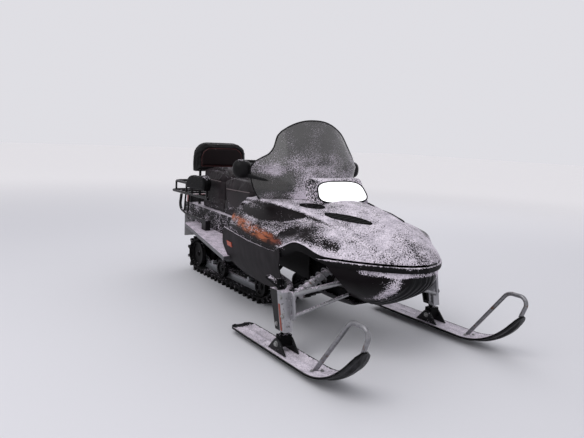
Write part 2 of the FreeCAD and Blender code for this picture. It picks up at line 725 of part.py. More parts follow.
# a bracket plate ahead of the housing carries the rods, and a stub carries the shock
inner_face_y = half_stance - d.housing_wide / 2
bracket_outline = ((790, 337), (838, 342), (852, 330), (868, 228), (862, 206), (820, 205))
bracket = side_slab(bracket_outline, inner_face_y - 6, inner_face_y + 6)
for hole in (((824, 318), (838, 318), (847, 264)), ((836, 226), (853, 226), (846, 256))):
    bracket = bracket.cut(side_slab(hole, inner_face_y - 10, inner_face_y + 10))
shock_foot = Vector(792, 480, 292)
stub = rod((shock_foot.x, half_stance + d.housing_wide / 2 - 3, shock_foot.z),
           (shock_foot.x, shock_foot.y - 18, shock_foot.z), 20)
housing = housing.fuse(bracket).fuse(stub)
pivot = (95, 285, 330)
knee = (590, 345, 292)
tip = (kingpin_x(mid_z) - half_long + 6, half_stance - 4, mid_z + 4)
arm = tube((pivot, knee, tip), d.arm_tube, 160)
pivot_tube = rod((pivot[0], tunnel_side, pivot[2]), (pivot[0], pivot[1] + 26, pivot[2]), 48)
swing = housing.fuse(arm).fuse(pivot_tube)
swing = swing.cut(bore)
swing = swing.common(Part.makeBox(3000, 2000, 2000, Vector(-1500, tunnel_side, 0)))
swing_solid = max(swing.Solids, key=lambda piece: piece.Volume)
solid("swing_arms", both_sides(swing_solid))

# Radius rods from the bracket to the frame's cheeks
ROD_RUNS = (
    # outer x, z, inner x, z, diameter
    (856, 222, 880, 302, d.rod_tube),
    (838, 328, 900, 385, d.rod_tube + 8),
)
rods = []
for outer_x, outer_z, inner_x, inner_z, diameter in ROD_RUNS:
    run = rod((outer_x, inner_face_y, outer_z), (inner_x, cheek_y, inner_z), diameter)
    run = run.cut(frame).cut(swing_solid).common(upright(600, 400, 1000, 0, 600))
    rods.append(max(run.Solids, key=lambda piece: piece.Volume))
solid("radius_rods", Part.makeCompound(rods + [mirrored(run) for run in rods]))


# Coil-over shocks from the housings' stubs to the frame's
def coil_over(low, high):
    """A damper in its spring, with an eye at each end about a pin that runs across."""
    axis = (high - low).normalize()
    length = (high - low).Length
    spring_start, spring_end = 0.12 * length, 0.86 * length
    turns = 6
    pitch = (spring_end - spring_start) / turns
    pieces = [
        Part.makeCylinder(8, length, low, axis),
        Part.makeCylinder(d.shock_body / 2, 0.5 * length, low + axis * 0.46 * length, axis),
        Part.makeCylinder(d.shock_body / 2 + 4, spring_end - spring_start, low + axis * spring_start, axis),
    ]
    for at in (spring_start, spring_end):
        pieces.append(Part.makeCylinder(d.coil_wide / 2, 8, low + axis * at, axis))
    for number in range(turns):
        at = low + axis * (spring_start + 8 + pitch * (number + 0.4))
        pieces.append(Part.makeTorus((d.coil_wide - d.coil_wire) / 2, d.coil_wire / 2, at, axis))
    coil = Part.makeCylinder((d.coil_wide - d.coil_wire) / 2, spring_end - spring_start, low + axis * spring_start, axis)
    pieces.append(coil)
    for at in (low, high):
        pieces.append(Part.makeCylinder(17, 22, at - Vector(0, 11, 0), Vector(0, 1, 0)))
    return pieces[0].multiFuse(pieces[1:])


shock = coil_over(shock_foot, shock_head).cut(swing_solid).cut(frame)
solid("front_shocks", both_sides(max(shock.Solids, key=lambda piece: piece.Volume)))

# Ski: blade with a turned up tip, keel, and a saddle for the kingpin's foot
curve = math.radians(d.ski_sweep)


def on_curve(drop, angle):
    """A point of the ski's turned up tip, drop below the blade's underside arc."""
    radius = d.ski_curve + drop
    return (d.ski_bend + radius * math.sin(angle), d.ski_deck + d.ski_curve - radius * math.cos(angle))


def blade_outline(low, high, tail):
    """A side view of the blade between two drops below its underside."""
    return (
        (tail, d.ski_deck - low), (d.ski_bend, d.ski_deck - low),
        on_curve(low, curve) + on_curve(low, curve / 2),
        on_curve(high, curve),
        (d.ski_bend, d.ski_deck - high) + on_curve(high, curve / 2),
        (tail, d.ski_deck - high),
    )


saddle_x = kingpin_x(80)
for side, name in ((1, "left"), (-1, "right")):
    middle = side * half_stance
    half = d.ski_width / 2
    blade = side_slab(blade_outline(0, -d.ski_thick, d.ski_tail), middle - half, middle + half)
    tip_x = on_curve(0, curve)[0]
    plan = (
        (d.ski_tail + 40, middle - half), (d.ski_bend + 60, middle - half), (tip_x - 128, middle - half + 5),
        (tip_x - 43, middle - half + 25), (tip_x - 43, middle + half - 25, tip_x + 10, middle),
        (tip_x - 128, middle + half - 5), (d.ski_bend + 60, middle + half), (d.ski_tail + 40, middle + half),
        (d.ski_tail, middle + half - 30), (d.ski_tail, middle - half + 30),
    )
    blade = blade.common(slab(plan, level(-10), Vector(0, 0, 600)))
    keel_side = blade_outline(d.ski_deck - d.wear_bar, 0, d.ski_tail + 60)
    keel = side_slab(keel_side, middle - d.ski_keel / 2, middle + d.ski_keel / 2)
    keel = keel.common(slab(plan, level(-10), Vector(0, 0, 600)))
    blade = blade.fuse(keel)
    for ear in (-1, 1):
        outline = ((saddle_x - 80, d.ski_deck + d.ski_thick), (saddle_x + 80, d.ski_deck + d.ski_thick),
                   (saddle_x + 24, 96), (saddle_x - 24, 96, saddle_x, 106))
        inner = middle + ear * 34
        outer = middle + ear * 44
        blade = blade.fuse(side_slab(outline, min(inner, outer), max(inner, outer)))
    pivot_pin = rod((saddle_x, middle - 44, 78), (saddle_x, middle + 44, 78), 16)
    blade = blade.cut(pivot_pin)
    solid("ski_" + name, blade)

    bar = doc.addObject("Part::Box", "wear_bar_" + name)
    bound(bar, Length="Sizes.ski_bend - Sizes.ski_tail - 140", Width="Sizes.wear_bar", Height="Sizes.wear_bar")
    bar.Placement = Placement(Vector(d.ski_tail + 120, middle - d.wear_bar / 2, 0), Rotation())
    keep("wear_bar_" + name, bar)

    tip_top = on_curve(-d.ski_thick, curve * 0.97)
    loop_front = tip_x + d.loop_ahead
    loop = tube(((d.ski_bend + 11, middle, d.ski_deck + d.ski_thick - 1), (loop_front - 127, middle, d.loop_high),
                 (loop_front, middle, d.loop_high), (tip_top[0] - 4, middle, tip_top[1])), d.loop_tube, 62)
    loop = loop.cut(blade)
    solid("ski_loop_" + name, max(loop.Solids, key=lambda piece: piece.Volume))

    fork = side_slab(((saddle_x - 26, 66), (saddle_x + 26, 66), (saddle_x + 22, 122), (saddle_x - 22, 122)),
                     middle - 33, middle + 33)
    shaft = rod(pin_point(90, middle), pin_point(392, middle), d.kingpin_bar)
    leg = fork.fuse(shaft).fuse(pivot_pin)
    head = kingpin_x(352)
    steer_arm = side_slab(((head - 116, 372), (head + 18, 344), (head + 18, 358), (head - 116, 386)), middle - 15, middle + 15)
    leg = leg.fuse(steer_arm)
    solid("ski_leg_" + name, leg)

# Console and fuel tank between seat and hood, with a well for the steering post
post_foot = Vector(300, 0, 522)
post_head = Vector(30, 0, 905)
post_axis = (post_head - post_foot).normalize()
console_front, console_rear = 235, d.seat_front + 5
console_outline = (
    (console_front, tunnel_top(console_front)), (console_front, d.console_high - 72),
    (console_front - 30, d.console_high - 20), (console_front - 115, d.console_high),
    (console_rear + 30, d.console_high - 8, 0, d.console_high + 6), (console_rear, d.console_high - 72),
    (console_rear, tunnel_top(console_rear)),
)
console = side_slab(console_outline, -d.console_width / 2, d.console_width / 2)
well = Part.makeCylinder(d.post_well / 2, 600, post_foot - post_axis * 30, post_axis)
console = console.cut(well)
# a sloped shoulder on each side
for side in (-1, 1):
    edge = side * (d.console_width / 2 + 2)
    slope = ((edge, d.console_high - 72), (edge, d.console_high + 28), (edge - side * 82, d.console_high + 28))
    console = console.cut(slab(slope, across(console_rear - 50), Vector(console_front - console_rear + 100, 0, 0)))
solid("fuel_console", max(console.Solids, key=lambda piece: piece.Volume))

# Seats: the rider's and, a step higher, the passenger's, on the tunnel
front, split, rear_end = d.seat_front, d.seat_split, d.seat_rear
rider_end, passenger_start = split + 2.5, split - 2.5
rider_side = (
    (front, tunnel_top(front)), (front, d.seat_high - 70), (front - 145, d.seat_high, front - 55, d.seat_high - 20),
    (front - 315, d.seat_high + 6), (split + 42, d.seat_high - 12), (rider_end, d.seat_high - 22),
    (rider_end, tunnel_top(rider_end)),
)
passenger_side = (
    (passenger_start, tunnel_top(passenger_start)), (passenger_start, d.passenger_high - 46),
    (split - 57, d.passenger_high - 6, split - 18, d.passenger_high - 14), (rear_end, d.passenger_high + 4),
    (rear_end, tunnel_top(rear_end)),
)
for label, outline, width in (("seat", rider_side, "Sizes.seat_width"),
                              ("passenger_seat", passenger_side, "Sizes.passenger_width")):
    cushion = doc.addObject("PartDesign::Body", label)
    pad(cushion, draw(cushion, "XZ_Plane", (outline,)), width)
    keep(label, cushion)

# Backrest: a wrapped pad on a frame of bent tube behind the passenger
half_pad, pad_low, pad_high = d.backrest_width / 2, d.backrest_low, d.backrest_high
pad_face = (
    (-half_pad, pad_low), (half_pad, pad_low), (half_pad, pad_high - 107),
    (half_pad - 108, pad_high, half_pad - 32, pad_high - 32), (108 - half_pad, pad_high),
    (-half_pad, pad_high - 107, 32 - half_pad, pad_high - 32),
)
backrest = doc.addObject("PartDesign::Body", "backrest_pad")
pad(backrest, draw(backrest, "YZ_Plane", (pad_face,), d.backrest_x + d.backrest_thick / 2), "Sizes.backrest_thick")
keep("backrest_pad", backrest)
frame_y = half_pad - 78
tube_x = d.backrest_x - d.rack_tube / 2 - 2
back_frame = tube(((tube_x, frame_y, tunnel_top(tube_x) - 3), (tube_x, frame_y, pad_high - 62),
                   (tube_x, -frame_y, pad_high - 62), (tube_x, -frame_y, tunnel_top(tube_x) - 3)), d.rack_tube, 60)
for side in (-1, 1):
    for z in (pad_low + 30, pad_high - 140):
        lug = Part.makeBox(d.backrest_x - tube_x, 26, 40, Vector(tube_x, side * frame_y - 13, z))
        back_frame = back_frame.fuse(lug)
doc.recompute()
back_frame = back_frame.cut(tunnel.Shape)
solid("backrest_frame", back_frame)

# Grab guards: padded hand holds on each side of the passenger seat
guard_rear, guard_front = rear_end - 55, split - 67
guard_outline = (
    (guard_rear, 684), (guard_front - 22, 684), (guard_front, 730),
    (guard_front - 92, 802, guard_front - 22, 790), (guard_front - 212, 792), (guard_rear, 712, guard_rear + 45, 770),
)
guard = side_slab(guard_outline, d.guard_inner, d.guard_inner + d.guard_thick)
solid("grab_guards", both_sides(guard))

# Luggage rack: a lower and an upper hoop of tube, joined by posts that stand on the tunnel.
# The lower hoop runs on forward and carries the grab guards on short posts.
half_rack = d.rack_width / 2
post_bar = d.rack_tube - 4
end = d.tunnel_rear


def hoop(front_x, rear_x, z, half):
    """A tube open to the front, as far back as rear_x."""
    return tube(((front_x, half, z), (rear_x, half, z), (rear_x, -half, z), (front_x, -half, z)), d.rack_tube, 70)


RACK_POSTS = (
    # x, y, from z, to z
    (end + 85, tunnel_side - 15, tunnel_top(end + 85) - 3, d.rack_low),
    (end - 95, half_rack - 4, d.rack_low, d.rack_high),
    (end + 115, half_rack - 4, d.rack_low, d.rack_high),
    (guard_rear + 30, half_rack, d.rack_low, 700),
    (guard_front - 60, half_rack, d.rack_low, 700),
)
rack_pieces = [
    hoop(guard_front - 40, end - d.rack_behind + d.rack_tube / 2, d.rack_low, half_rack),
    hoop(end + 150, end - d.rack_behind + d.rack_tube / 2 + 59, d.rack_high, half_rack - 4),
]
for x, y, low, high in RACK_POSTS:
    rack_pieces += [rod((x, side * y, low), (x, side * y, high), post_bar) for side in (-1, 1)]
for x in (end + 85, end - 65):
    rack_pieces.append(rod((x, -half_rack, d.rack_low), (x, half_rack, d.rack_low), post_bar))
rack = rack_pieces[0].multiFuse(rack_pieces[1:])
rack = rack.cut(back_frame).cut(tunnel.Shape).cut(guard).cut(mirrored(guard))
solid("luggage_rack", rack)

# Side rails: bent bars from the rack down to a foot block on the running board
rail_y = d.rail_line
rail_route = ((end + 55, rail_y, d.rack_low - 12), (end + 20, rail_y, 500), (end + 195, rail_y, 462), (-700, rail_y, 452))
side_bar = tube(rail_route, d.rail_bar, 60)
foot_top = board_top(-700)
foot_block = Part.makeBox(70, 40, 470 - foot_top, Vector(-735, rail_y - 16, foot_top - 2))
side_bar = side_bar.fuse(foot_block)
for x in (end + 115, end + 185, end + 275):
    side_bar = side_bar.fuse(rod((x, rail_y, 472), (x, half_rack, d.rack_low), post_bar - 2))
side_bar = side_bar.cut(rack).cut(board)
solid("side_rails", both_sides(max(side_bar.Solids, key=lambda piece: piece.Volume)))

# Taillight on the tunnel's end, under the rack
lamp_long = 56
lamp_foot = tunnel_top(end + lamp_long)
taillight = Part.makeBox(lamp_long, 2 * tunnel_side - 30, 62, Vector(end, 15 - tunnel_side, lamp_foot - 1))
solid("taillight", taillight.cut(tunnel.Shape).cut(rack))

# Tow hitch: a plate across the tunnel's end with a tongue and its pin hole; the snow flap hangs below
flap_top = d.tongue_low - 20
pin_x = end - d.hitch_long
tongue_outline = ((end - d.hitch_sheet / 2, -70), (pin_x, -30), (pin_x, 30, pin_x - 30, 0), (end - d.hitch_sheet / 2, 70))
radius = d.pin_hole / 2
pin_outline = ((pin_x - radius, 0), (pin_x + radius, 0, pin_x, radius), (pin_x - radius, 0, pin_x, -radius))
plate_face = (
    (-tunnel_side, flap_top), (tunnel_side, flap_top), (tunnel_side, tunnel_top(end)), (-tunnel_side, tunnel_top(end)),
)
flap_face = (
    (-tunnel_side, d.flap_low), (tunnel_side, d.flap_low), (tunnel_side, flap_top), (-tunnel_side, flap_top),
)
hitch = doc.addObject("PartDesign::Body", "tow_hitch")
tongue_z = d.tongue_low + d.tongue_thick / 2
pad(hitch, draw(hitch, "YZ_Plane", (plate_face,), end - d.hitch_sheet / 2), "Sizes.hitch_sheet")
pad(hitch, draw(hitch, "XY_Plane", (tongue_outline,), tongue_z), "Sizes.tongue_thick")
pocket(hitch, draw(hitch, "XY_Plane", (pin_outline,), tongue_z), "Sizes.tongue_thick + 2")
keep("tow_hitch", hitch)
flap = doc.addObject("PartDesign::Body", "snow_flap")
pad(flap, draw(flap, "YZ_Plane", (flap_face,), end - d.hitch_sheet / 2), "Sizes.hitch_sheet")
keep("snow_flap", flap)
doc.recompute()

# Windshield: clear sheet bent to three arcs at each level, cut to its outline from the front
# z, front x, then x and y where the front arc ends, half way along the side, and at the rear edge
GLASS_LEVELS = (
    (700, 562, (456, 161), (307, 240), (164, 322)),
    (930, 420, (362, 215), (283, 314), (178, 392)),
    (1215, 252, (205, 175), (138, 258), (50, 318)),
)


def glass_outline(z, front_x, tangent, middle, rear_end, out, into):
    """A bent strip between a line out of the sheet's outer face by out and one inside it by into."""
    centre = Vector(rear_end[0] - 40, 0, 0)

    def shift(point, distance):
        radius = Vector(point[0], point[1], 0) - centre
        moved = centre + radius * (1 + distance / radius.Length)
        return (moved.x, moved.y)

    def half(distance):
        return [shift(point, distance) for point in ((front_x, 0), tangent, middle, rear_end)]

    (fx, _), (tx, ty), (mx, my), (rx, ry) = half(out)
    (gx, _), (ux, uy), (nx, ny), (sx, sy) = half(-into)
    return wire(((rx, -ry), (tx, -ty, mx, -my), (tx, ty, fx, 0), (rx, ry, mx, my),
                 (sx, sy), (ux, uy, nx, ny), (ux, -uy, gx, 0), (sx, -sy, nx, -ny)), level(z))


def glass_loft(out, into):
    return Part.makeLoft([glass_outline(*row, out, into) for row in GLASS_LEVELS], True, True)


front_view = (
    (0, 690), (345, 690), (345, 800), (392, 912), (338, 978, 382, 950), (286, 1040, 300, 1004), (262, 1110),
    (175, 1185, 242, 1164), (0, 1205, 90, 1205), (-175, 1185, -90, 1205), (-262, 1110, -242, 1164), (-286, 1040),
    (-338, 978, -300, 1004), (-392, 912, -382, 950), (-345, 800), (-345, 690),
)
hood_cover = hood_loft(-1)
glass = glass_loft(0, d.glass).common(slab(front_view, across(0), Vector(700, 0, 0))).cut(hood_cover)
solid("windshield", max(glass.Solids, key=lambda piece: piece.Volume))

# Headlight: a wedge housing in front of the glass with a sloping, rounded lens
lamp_half = 172
lens_foot, lens_head = (582, 744), (508, 860)
housing_side = ((400, 680), (lens_foot[0] - 2, 680), lens_foot, lens_head, (488, 874), (400, 874))
glass_cover = glass_loft(1, d.glass + 1)
lamp = side_slab(housing_side, -lamp_half, lamp_half).cut(hood_cover).cut(glass_cover)
lamp = max(lamp.Solids, key=lambda piece: piece.CenterOfMass.x)
lens_out = Vector(lens_head[1] - lens_foot[1], 0, lens_foot[0] - lens_head[0]).normalize()
lens_up = Vector(lens_head[0] - lens_foot[0], 0, lens_head[1] - lens_foot[1])
lens_base = Vector(lens_foot[0], 0, lens_foot[1])


def on_lens(across_y, share):
    """A point of the lens plane, by its Y and its share of the height."""
    return lens_base + lens_up * share + Vector(0, across_y, 0)


lens_outline = (
    (-144, 0.10), (144, 0.10), (162, 0.30, 158, 0.15), (148, 0.80), (126, 0.95, 143, 0.92), (-126, 0.95),
    (-148, 0.80, -143, 0.92), (-162, 0.30), (-144, 0.10, -158, 0.15),
)
solid("headlight_housing", lamp)
solid("headlight_lens", slab(lens_outline, on_lens, lens_out * 7))

# Instrument pod behind the glass, on the hood
pod_half = 140
pod_side = ((262, 640), (262, 800), (300, 846), (400, 830), (455, 790), (455, 640))
pod = side_slab(pod_side, -pod_half, pod_half).cut(hood_cover).cut(glass_cover)
solid("instrument_pod", min(pod.Solids, key=lambda piece: piece.CenterOfMass.x))


# Mirrors on the flanks of the windshield: a rounded housing on a tapering arm
def oval(x, centre_y, centre_z, half_y, half_z):
    """A rounded outline across the machine, of four arcs."""
    corner_y, corner_z = 0.78 * half_y, 0.72 * half_z
    points = ((-half_y, 0), (0, half_z, -corner_y, corner_z), (half_y, 0, corner_y, corner_z),
              (0, -half_z, corner_y, -corner_z), (-half_y, 0, -corner_y, -corner_z))
    moved = [tuple(v + (centre_z if i % 2 else centre_y) for i, v in enumerate(point)) for point in points]
    return wire(moved, across(x))


MIRROR_SECTIONS = (
    # x, centre y and z, half width, half height
    (88, 418, 902, 56, 54),
    (118, 418, 902, 58, 56),
    (148, 414, 900, 40, 42),
)
mirror_shell = Part.makeLoft([oval(*section) for section in MIRROR_SECTIONS], True, True)
ARM_SECTIONS = (
    (112, 400, 874, 30, 22),
    (250, 312, 844, 8, 7),
)
arm_wedge = Part.makeLoft([oval(*section) for section in ARM_SECTIONS], True, True)
mirror = mirror_shell.fuse(arm_wedge).cut(glass_cover)
solid("mirrors", both_sides(max(mirror.Solids, key=lambda piece: piece.CenterOfMass.y)))

# Hood vents: dark inserts seated in the hood's skin, a small one by the shoulder and a crescent ahead of it
VENT_OUTLINES = (
    # seen from above: one end, the other end by way of the inner edge, and back by way of the outer edge
    ((487, 243), (622, 177, 535, 190), (487, 243, 578, 232)),
    ((680, 207), (940, 113, 786, 150), (680, 207, 824, 184)),
)
vent_cap = hood_loft(-3)
vents = []
for outline in VENT_OUTLINES:
    column = slab(outline, level(600), Vector(0, 0, 300))
    vents.append(max(column.common(vent_cap).cut(hood_outer).Solids, key=lambda piece: piece.Volume))
solid("hood_vents", both_sides(Part.makeCompound(vents)))

# Reflectors near the rear edge of each side panel
reflector = side_slab(((46, 432), (104, 428), (104, 458), (46, 462)), 420, 600)
reflector = reflector.common(panel_loft(4, 4)).cut(panel_loft(d.pan_wall, 0))
solid("side_reflectors", both_sides(max(reflector.Solids, key=lambda piece: piece.Volume)))

# Steering: post through the console's well, handlebar with grips and levers
post = Part.makeCylinder(d.post_tube / 2, (post_head - post_foot).Length, post_foot, post_axis)
bar_half = d.bar_width / 2
BAR_RUN = ((-40, bar_half, 0), (10, 0.56 * bar_half, 0), (30, 60, -30))
bar_points = [(x, y, d.bar_high + drop) for x, y, drop in BAR_RUN]
bar = tube([(x, -y, z) for x, y, z in bar_points] + bar_points[::-1], d.bar_tube, 60)
solid("handlebar", post.fuse(bar))
grips = []
for side in (-1, 1):
    start, end_point = (Vector(x, side * y, z) for x, y, z in (bar_points[1], bar_points[0]))
    way = (end_point - start).normalize()
    grip = Part.makeCylinder(d.grip_wide / 2, d.grip_long, end_point - way * (d.grip_long - 1), way).cut(bar)
    grips.append(max(grip.Solids, key=lambda piece: piece.Volume))
solid("grips", Part.makeCompound(grips))

doc.recompute()
for thing in doc.Objects:
    if any(state in ("Invalid", "Error") for state in thing.State):
        raise RuntimeError("%s did not recompute" % thing.Label)
for thing in nodes:
    if thing.Shape.isNull() or not thing.Shape.isValid():
        raise RuntimeError("%s has no valid shape" % thing.Label)
for thing in nodes:
    thing.Shape.exportStep("parts/%s.step" % thing.Label)
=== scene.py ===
"""A two-up touring snowmobile, in metres: X forward, Y to the rider's left, Z up, floor at 0."""
import bpy
import math
from mathutils import Matrix, Vector


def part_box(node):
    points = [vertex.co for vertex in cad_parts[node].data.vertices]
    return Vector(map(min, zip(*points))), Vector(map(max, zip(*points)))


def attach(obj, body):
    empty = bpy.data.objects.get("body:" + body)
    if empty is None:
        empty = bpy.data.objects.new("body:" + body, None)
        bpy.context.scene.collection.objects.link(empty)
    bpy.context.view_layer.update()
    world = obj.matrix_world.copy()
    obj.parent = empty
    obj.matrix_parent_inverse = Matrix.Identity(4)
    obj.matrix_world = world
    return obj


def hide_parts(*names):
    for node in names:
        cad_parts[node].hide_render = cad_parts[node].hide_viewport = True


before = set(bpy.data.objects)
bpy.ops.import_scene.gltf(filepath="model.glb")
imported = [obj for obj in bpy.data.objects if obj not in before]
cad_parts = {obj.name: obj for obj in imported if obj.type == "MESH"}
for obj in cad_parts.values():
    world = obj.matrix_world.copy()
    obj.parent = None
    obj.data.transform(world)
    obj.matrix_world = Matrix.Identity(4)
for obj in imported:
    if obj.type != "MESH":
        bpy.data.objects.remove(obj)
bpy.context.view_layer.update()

# Studio: a pale floor under soft light from a white sky, with a large lamp high on the camera's
# side and a weaker one behind. The camera stands in front of the machine, to its right.
PAPER = (0.80, 0.785, 0.82, 1)
GLOW = (0.27, 0.255, 0.245, 1)
SKY_LIGHT, SKY_STRENGTH = (0.93, 0.95, 1.0, 1), 0.62
BACKDROP = (0.74, 0.735, 0.775, 1)
CAMERA_AT, LENS_MM, SENSOR_MM = Vector((3.068, -2.0314, 1.0933)), 34.6, 36
HEADING, DIP, ROLL = math.radians(146.1036), math.radians(8.1391), math.radians(2.5029)
# Each lamp's place, size and power
LAMPS = (((1.5, -3.5, 5.0), 4.0, 110), ((-3.0, 4.0, 4.5), 5.0, 60))

scene = bpy.context.scene
scene.view_settings.view_transform = "Standard"

ahead = Vector((math.cos(HEADING) * math.cos(DIP), math.sin(HEADING) * math.cos(DIP), -math.sin(DIP)))
level_right = Vector((math.sin(HEADING), -math.cos(HEADING), 0))
level_up = level_right.cross(ahead)
right = level_right * math.cos(ROLL) + level_up * math.sin(ROLL)
upright = level_up * math.cos(ROLL) - level_right * math.sin(ROLL)
bpy.ops.object.camera_add(location=CAMERA_AT)
camera = bpy.context.object
camera.matrix_world = Matrix((
    (right.x, upright.x, -ahead.x, CAMERA_AT.x),
    (right.y, upright.y, -ahead.y, CAMERA_AT.y),
    (right.z, upright.z, -ahead.z, CAMERA_AT.z),
    (0, 0, 0, 1),
))
camera.data.sensor_width = SENSOR_MM
camera.data.lens = LENS_MM
scene.camera = camera


class Value:
    """A shader socket, so that shader maths reads as a plain expression."""

    def __init__(self, finish, socket):
        self.finish = finish
        self.socket = socket

    def math(self, operation, *others, clamp=False):
        inputs = dict(enumerate((self,) + others))
        return self.finish.node("Math", {"operation": operation, "use_clamp": clamp}, inputs)

    def __add__(self, other):
        return self.math("ADD", other)

    __radd__ = __add__

    def __mul__(self, other):
        return self.math("MULTIPLY", other)

    __rmul__ = __mul__

    def __sub__(self, other):
        return self.math("SUBTRACT", other)

    def __rsub__(self, other):
        return (self * -1) + other

    def held(self):
        """Kept between 0 and 1."""
        return self.math("ADD", 0, clamp=True)

    def above(self, edge, soft):
        """0 below the edge and 1 above it, over a soft width."""
        return ((self - edge) * (1 / soft) + 0.5).held()


class Finish:
    """One material: its shader, and the nodes that feed it."""

    def __init__(self, name, **constants):
        self.material = bpy.data.materials.new(name)
        self.material.use_nodes = True
        self.tree = self.material.node_tree
        self.shader = self.tree.nodes["Principled BSDF"]
        for socket, value in constants.items():
            self.shader.inputs[socket.replace("_", " ")].default_value = value

    def node(self, kind, settings=(), inputs=(), output=0):
        """Add a node: its type, its settings, the values or links of its sockets."""
        made = self.tree.nodes.new("ShaderNode" + kind)
        for key, value in dict(settings).items():
            setattr(made, key, value)
        for key, value in dict(inputs).items():
            self.feed(made.inputs[key], value)
        return Value(self, made.outputs[output])

    def feed(self, socket, value):
        if isinstance(value, Value):
            self.tree.links.new(value.socket, socket)
        elif value is not None:
            socket.default_value = value

    def place(self):
        return self.node("TexCoord", output="Object")

    def along(self, axis, of="Object"):
        """One coordinate, 0 to 2 for x, y or z, of the surface's place or of its Normal."""
        return self.node("SeparateXYZ", inputs={0: self.node("TexCoord", output=of)}, output=axis)

    def noise(self, size, detail=2, stretch=None):
        """Cloudy noise from 0 to 1, with features of a size in metres, stretched for grain that runs one way."""
        where = self.place()
        if stretch:
            where = self.node("Mapping", inputs={"Vector": where, "Scale": stretch})
        return self.node("TexNoise", inputs={"Vector": where, "Scale": 1 / size, "Detail": detail})

    def upward(self):
        """How far the surface faces up, -1 to 1, in the piece's own frame."""
        return self.along(2, "Normal")

    def cells(self, scale):
        """Small cells, a number of them to the metre."""
        return self.node("TexVoronoi", inputs={"Vector": self.place(), "Scale": scale})

    def bands(self, scale):
        """Fine ribs, side by side across the machine."""
        return self.node("TexWave", {"bands_direction": "Y"}, {"Vector": self.place(), "Scale": scale})

    def paint(self, name):
        """A weight that the piece's own points carry."""
        return self.node("Attribute", {"attribute_name": name}, output="Fac")

    def mix(self, share, first, second):
        """One colour over another."""
        return self.node("Mix", {"data_type": "RGBA"}, {0: share, 6: first, 7: second}, output=2)

    def tones(self, share, first, second):
        """One colour over another, both written as they are seen on a screen."""
        return self.mix(share, linear(*first), linear(*second))

    def clouds(self, size, detail, dark, light):
        """Two colours in clouds of a size."""
        return self.tones(self.noise(size, detail), dark, light)

    def blend(self, share, first, second):
        """One number over another."""
        return self.node("Mix", {"data_type": "FLOAT"}, {0: share, 2: first, 3: second})

    def colour(self, value):
        self.feed(self.shader.inputs["Base Color"], value)
        return self

    def rough(self, value):
        self.feed(self.shader.inputs["Roughness"], value)
        return self

    def relief(self, height, depth):
        """A bump of a real depth in metres."""
        bump = self.node("Bump", inputs={"Height": height, "Distance": depth, "Strength": 1.0})
        self.feed(self.shader.inputs["Normal"], bump)
        return self

    def mottled(self, tone, rough=None, grain=None):
        """A cloudy colour and, where given, cloudy roughness and a fine grain."""
        self.colour(self.clouds(*tone))
        if rough:
            size, detail, low, high = rough
            self.rough(self.blend(self.noise(size, detail), low, high))
        if grain:
            size, detail, depth = grain
            self.relief(self.noise(size, detail), depth)
        return self

    def snowed(self, body, gloss, cover, grain=0.006, relief=0.0012, bite=2.4):
        """Dry snow blown over a body colour: cover is from 0, a few flecks, to 1, nearly white."""
        flakes = self.noise(grain, 3)
        drift = self.noise(0.09, 2)
        field = (flakes - 0.5) * bite + (drift - 0.5) * 1.2 + cover
        snow = field.above(0.52, 0.22)
        powder = (self.noise(0.007, 3) - 0.5) * 1.7 + (self.noise(0.05) - 0.5) * 1.2 + 0.5
        tone = self.mix(powder.held(), (0.42, 0.38, 0.44, 1), (0.98, 0.89, 0.98, 1))
        self.colour(self.mix(snow, body, tone))
        self.rough(self.blend(snow, gloss, 0.88))
        return self.relief(snow * (0.5 + flakes), relief)


def linear(red, green, blue):
    """A colour written as it is seen on a screen, 0 to 255."""
    channels = [channel / 255 for channel in (red, green, blue)]
    return tuple(c / 12.92 if c < 0.04045 else ((c + 0.055) / 1.055) ** 2.4 for c in channels) + (1,)


bpy.ops.mesh.primitive_plane_add(size=80, location=(0, 0, -0.002))
floor = bpy.context.object
floor.name = "floor"
ground = Finish("Pale floor", Roughness=0.9, Emission_Strength=1.0)
ground.colour(PAPER)
# far from the lamps the floor glows a little, so that it meets the backdrop without a line
distance = ground.node("VectorMath", {"operation": "LENGTH"}, {0: ground.place()}, output=1)
far = ground.node("MapRange", {"interpolation_type": "SMOOTHSTEP"}, {0: distance, 1: 3.0, 2: 11.0})
ground.feed(ground.shader.inputs["Emission Color"], ground.mix(far, (0, 0, 0, 1), GLOW))
floor.data.materials.append(ground.material)

sky = bpy.data.worlds.new("Sky")
scene.world = sky
sky.use_nodes = True
nodes, link = sky.node_tree.nodes, sky.node_tree.links.new
ambient, backdrop = nodes["Background"], nodes.new("ShaderNodeBackground")
ambient.inputs["Color"].default_value = SKY_LIGHT
ambient.inputs["Strength"].default_value = SKY_STRENGTH
backdrop.inputs["Color"].default_value = BACKDROP
rays, either = nodes.new("ShaderNodeLightPath"), nodes.new("ShaderNodeMixShader")
seen = rays.outputs["Is Camera Ray"]
for kind in ("Is Transmission Ray", "Is Glossy Ray"):
    larger = nodes.new("ShaderNodeMath")
    larger.operation = "MAXIMUM"
    link(seen, larger.inputs[0])
    link(rays.outputs[kind], larger.inputs[1])
    seen = larger.outputs[0]
for number, socket in enumerate((seen, ambient.outputs[0], backdrop.outputs[0])):
    link(socket, either.inputs[number])
link(either.outputs[0], nodes["World Output"].inputs[0])

for lamp_at, lamp_size, power in LAMPS:
    bpy.ops.object.light_add(type="AREA", location=lamp_at)
    lamp = bpy.context.object
    lamp.data.size = lamp_size
    lamp.data.energy = power
    lamp.rotation_euler = (-Vector(lamp_at)).to_track_quat("-Z", "Y").to_euler()

# Hood: a one-piece moulding in black plastic, hinged at the nose. Its skin is a sheet shaped
# over cross-sections from the rear edge to the nose, creased along both shoulders, with a
# leaf-shaped hollow in each flank. Dry snow lies on it, thinner on the flanks.

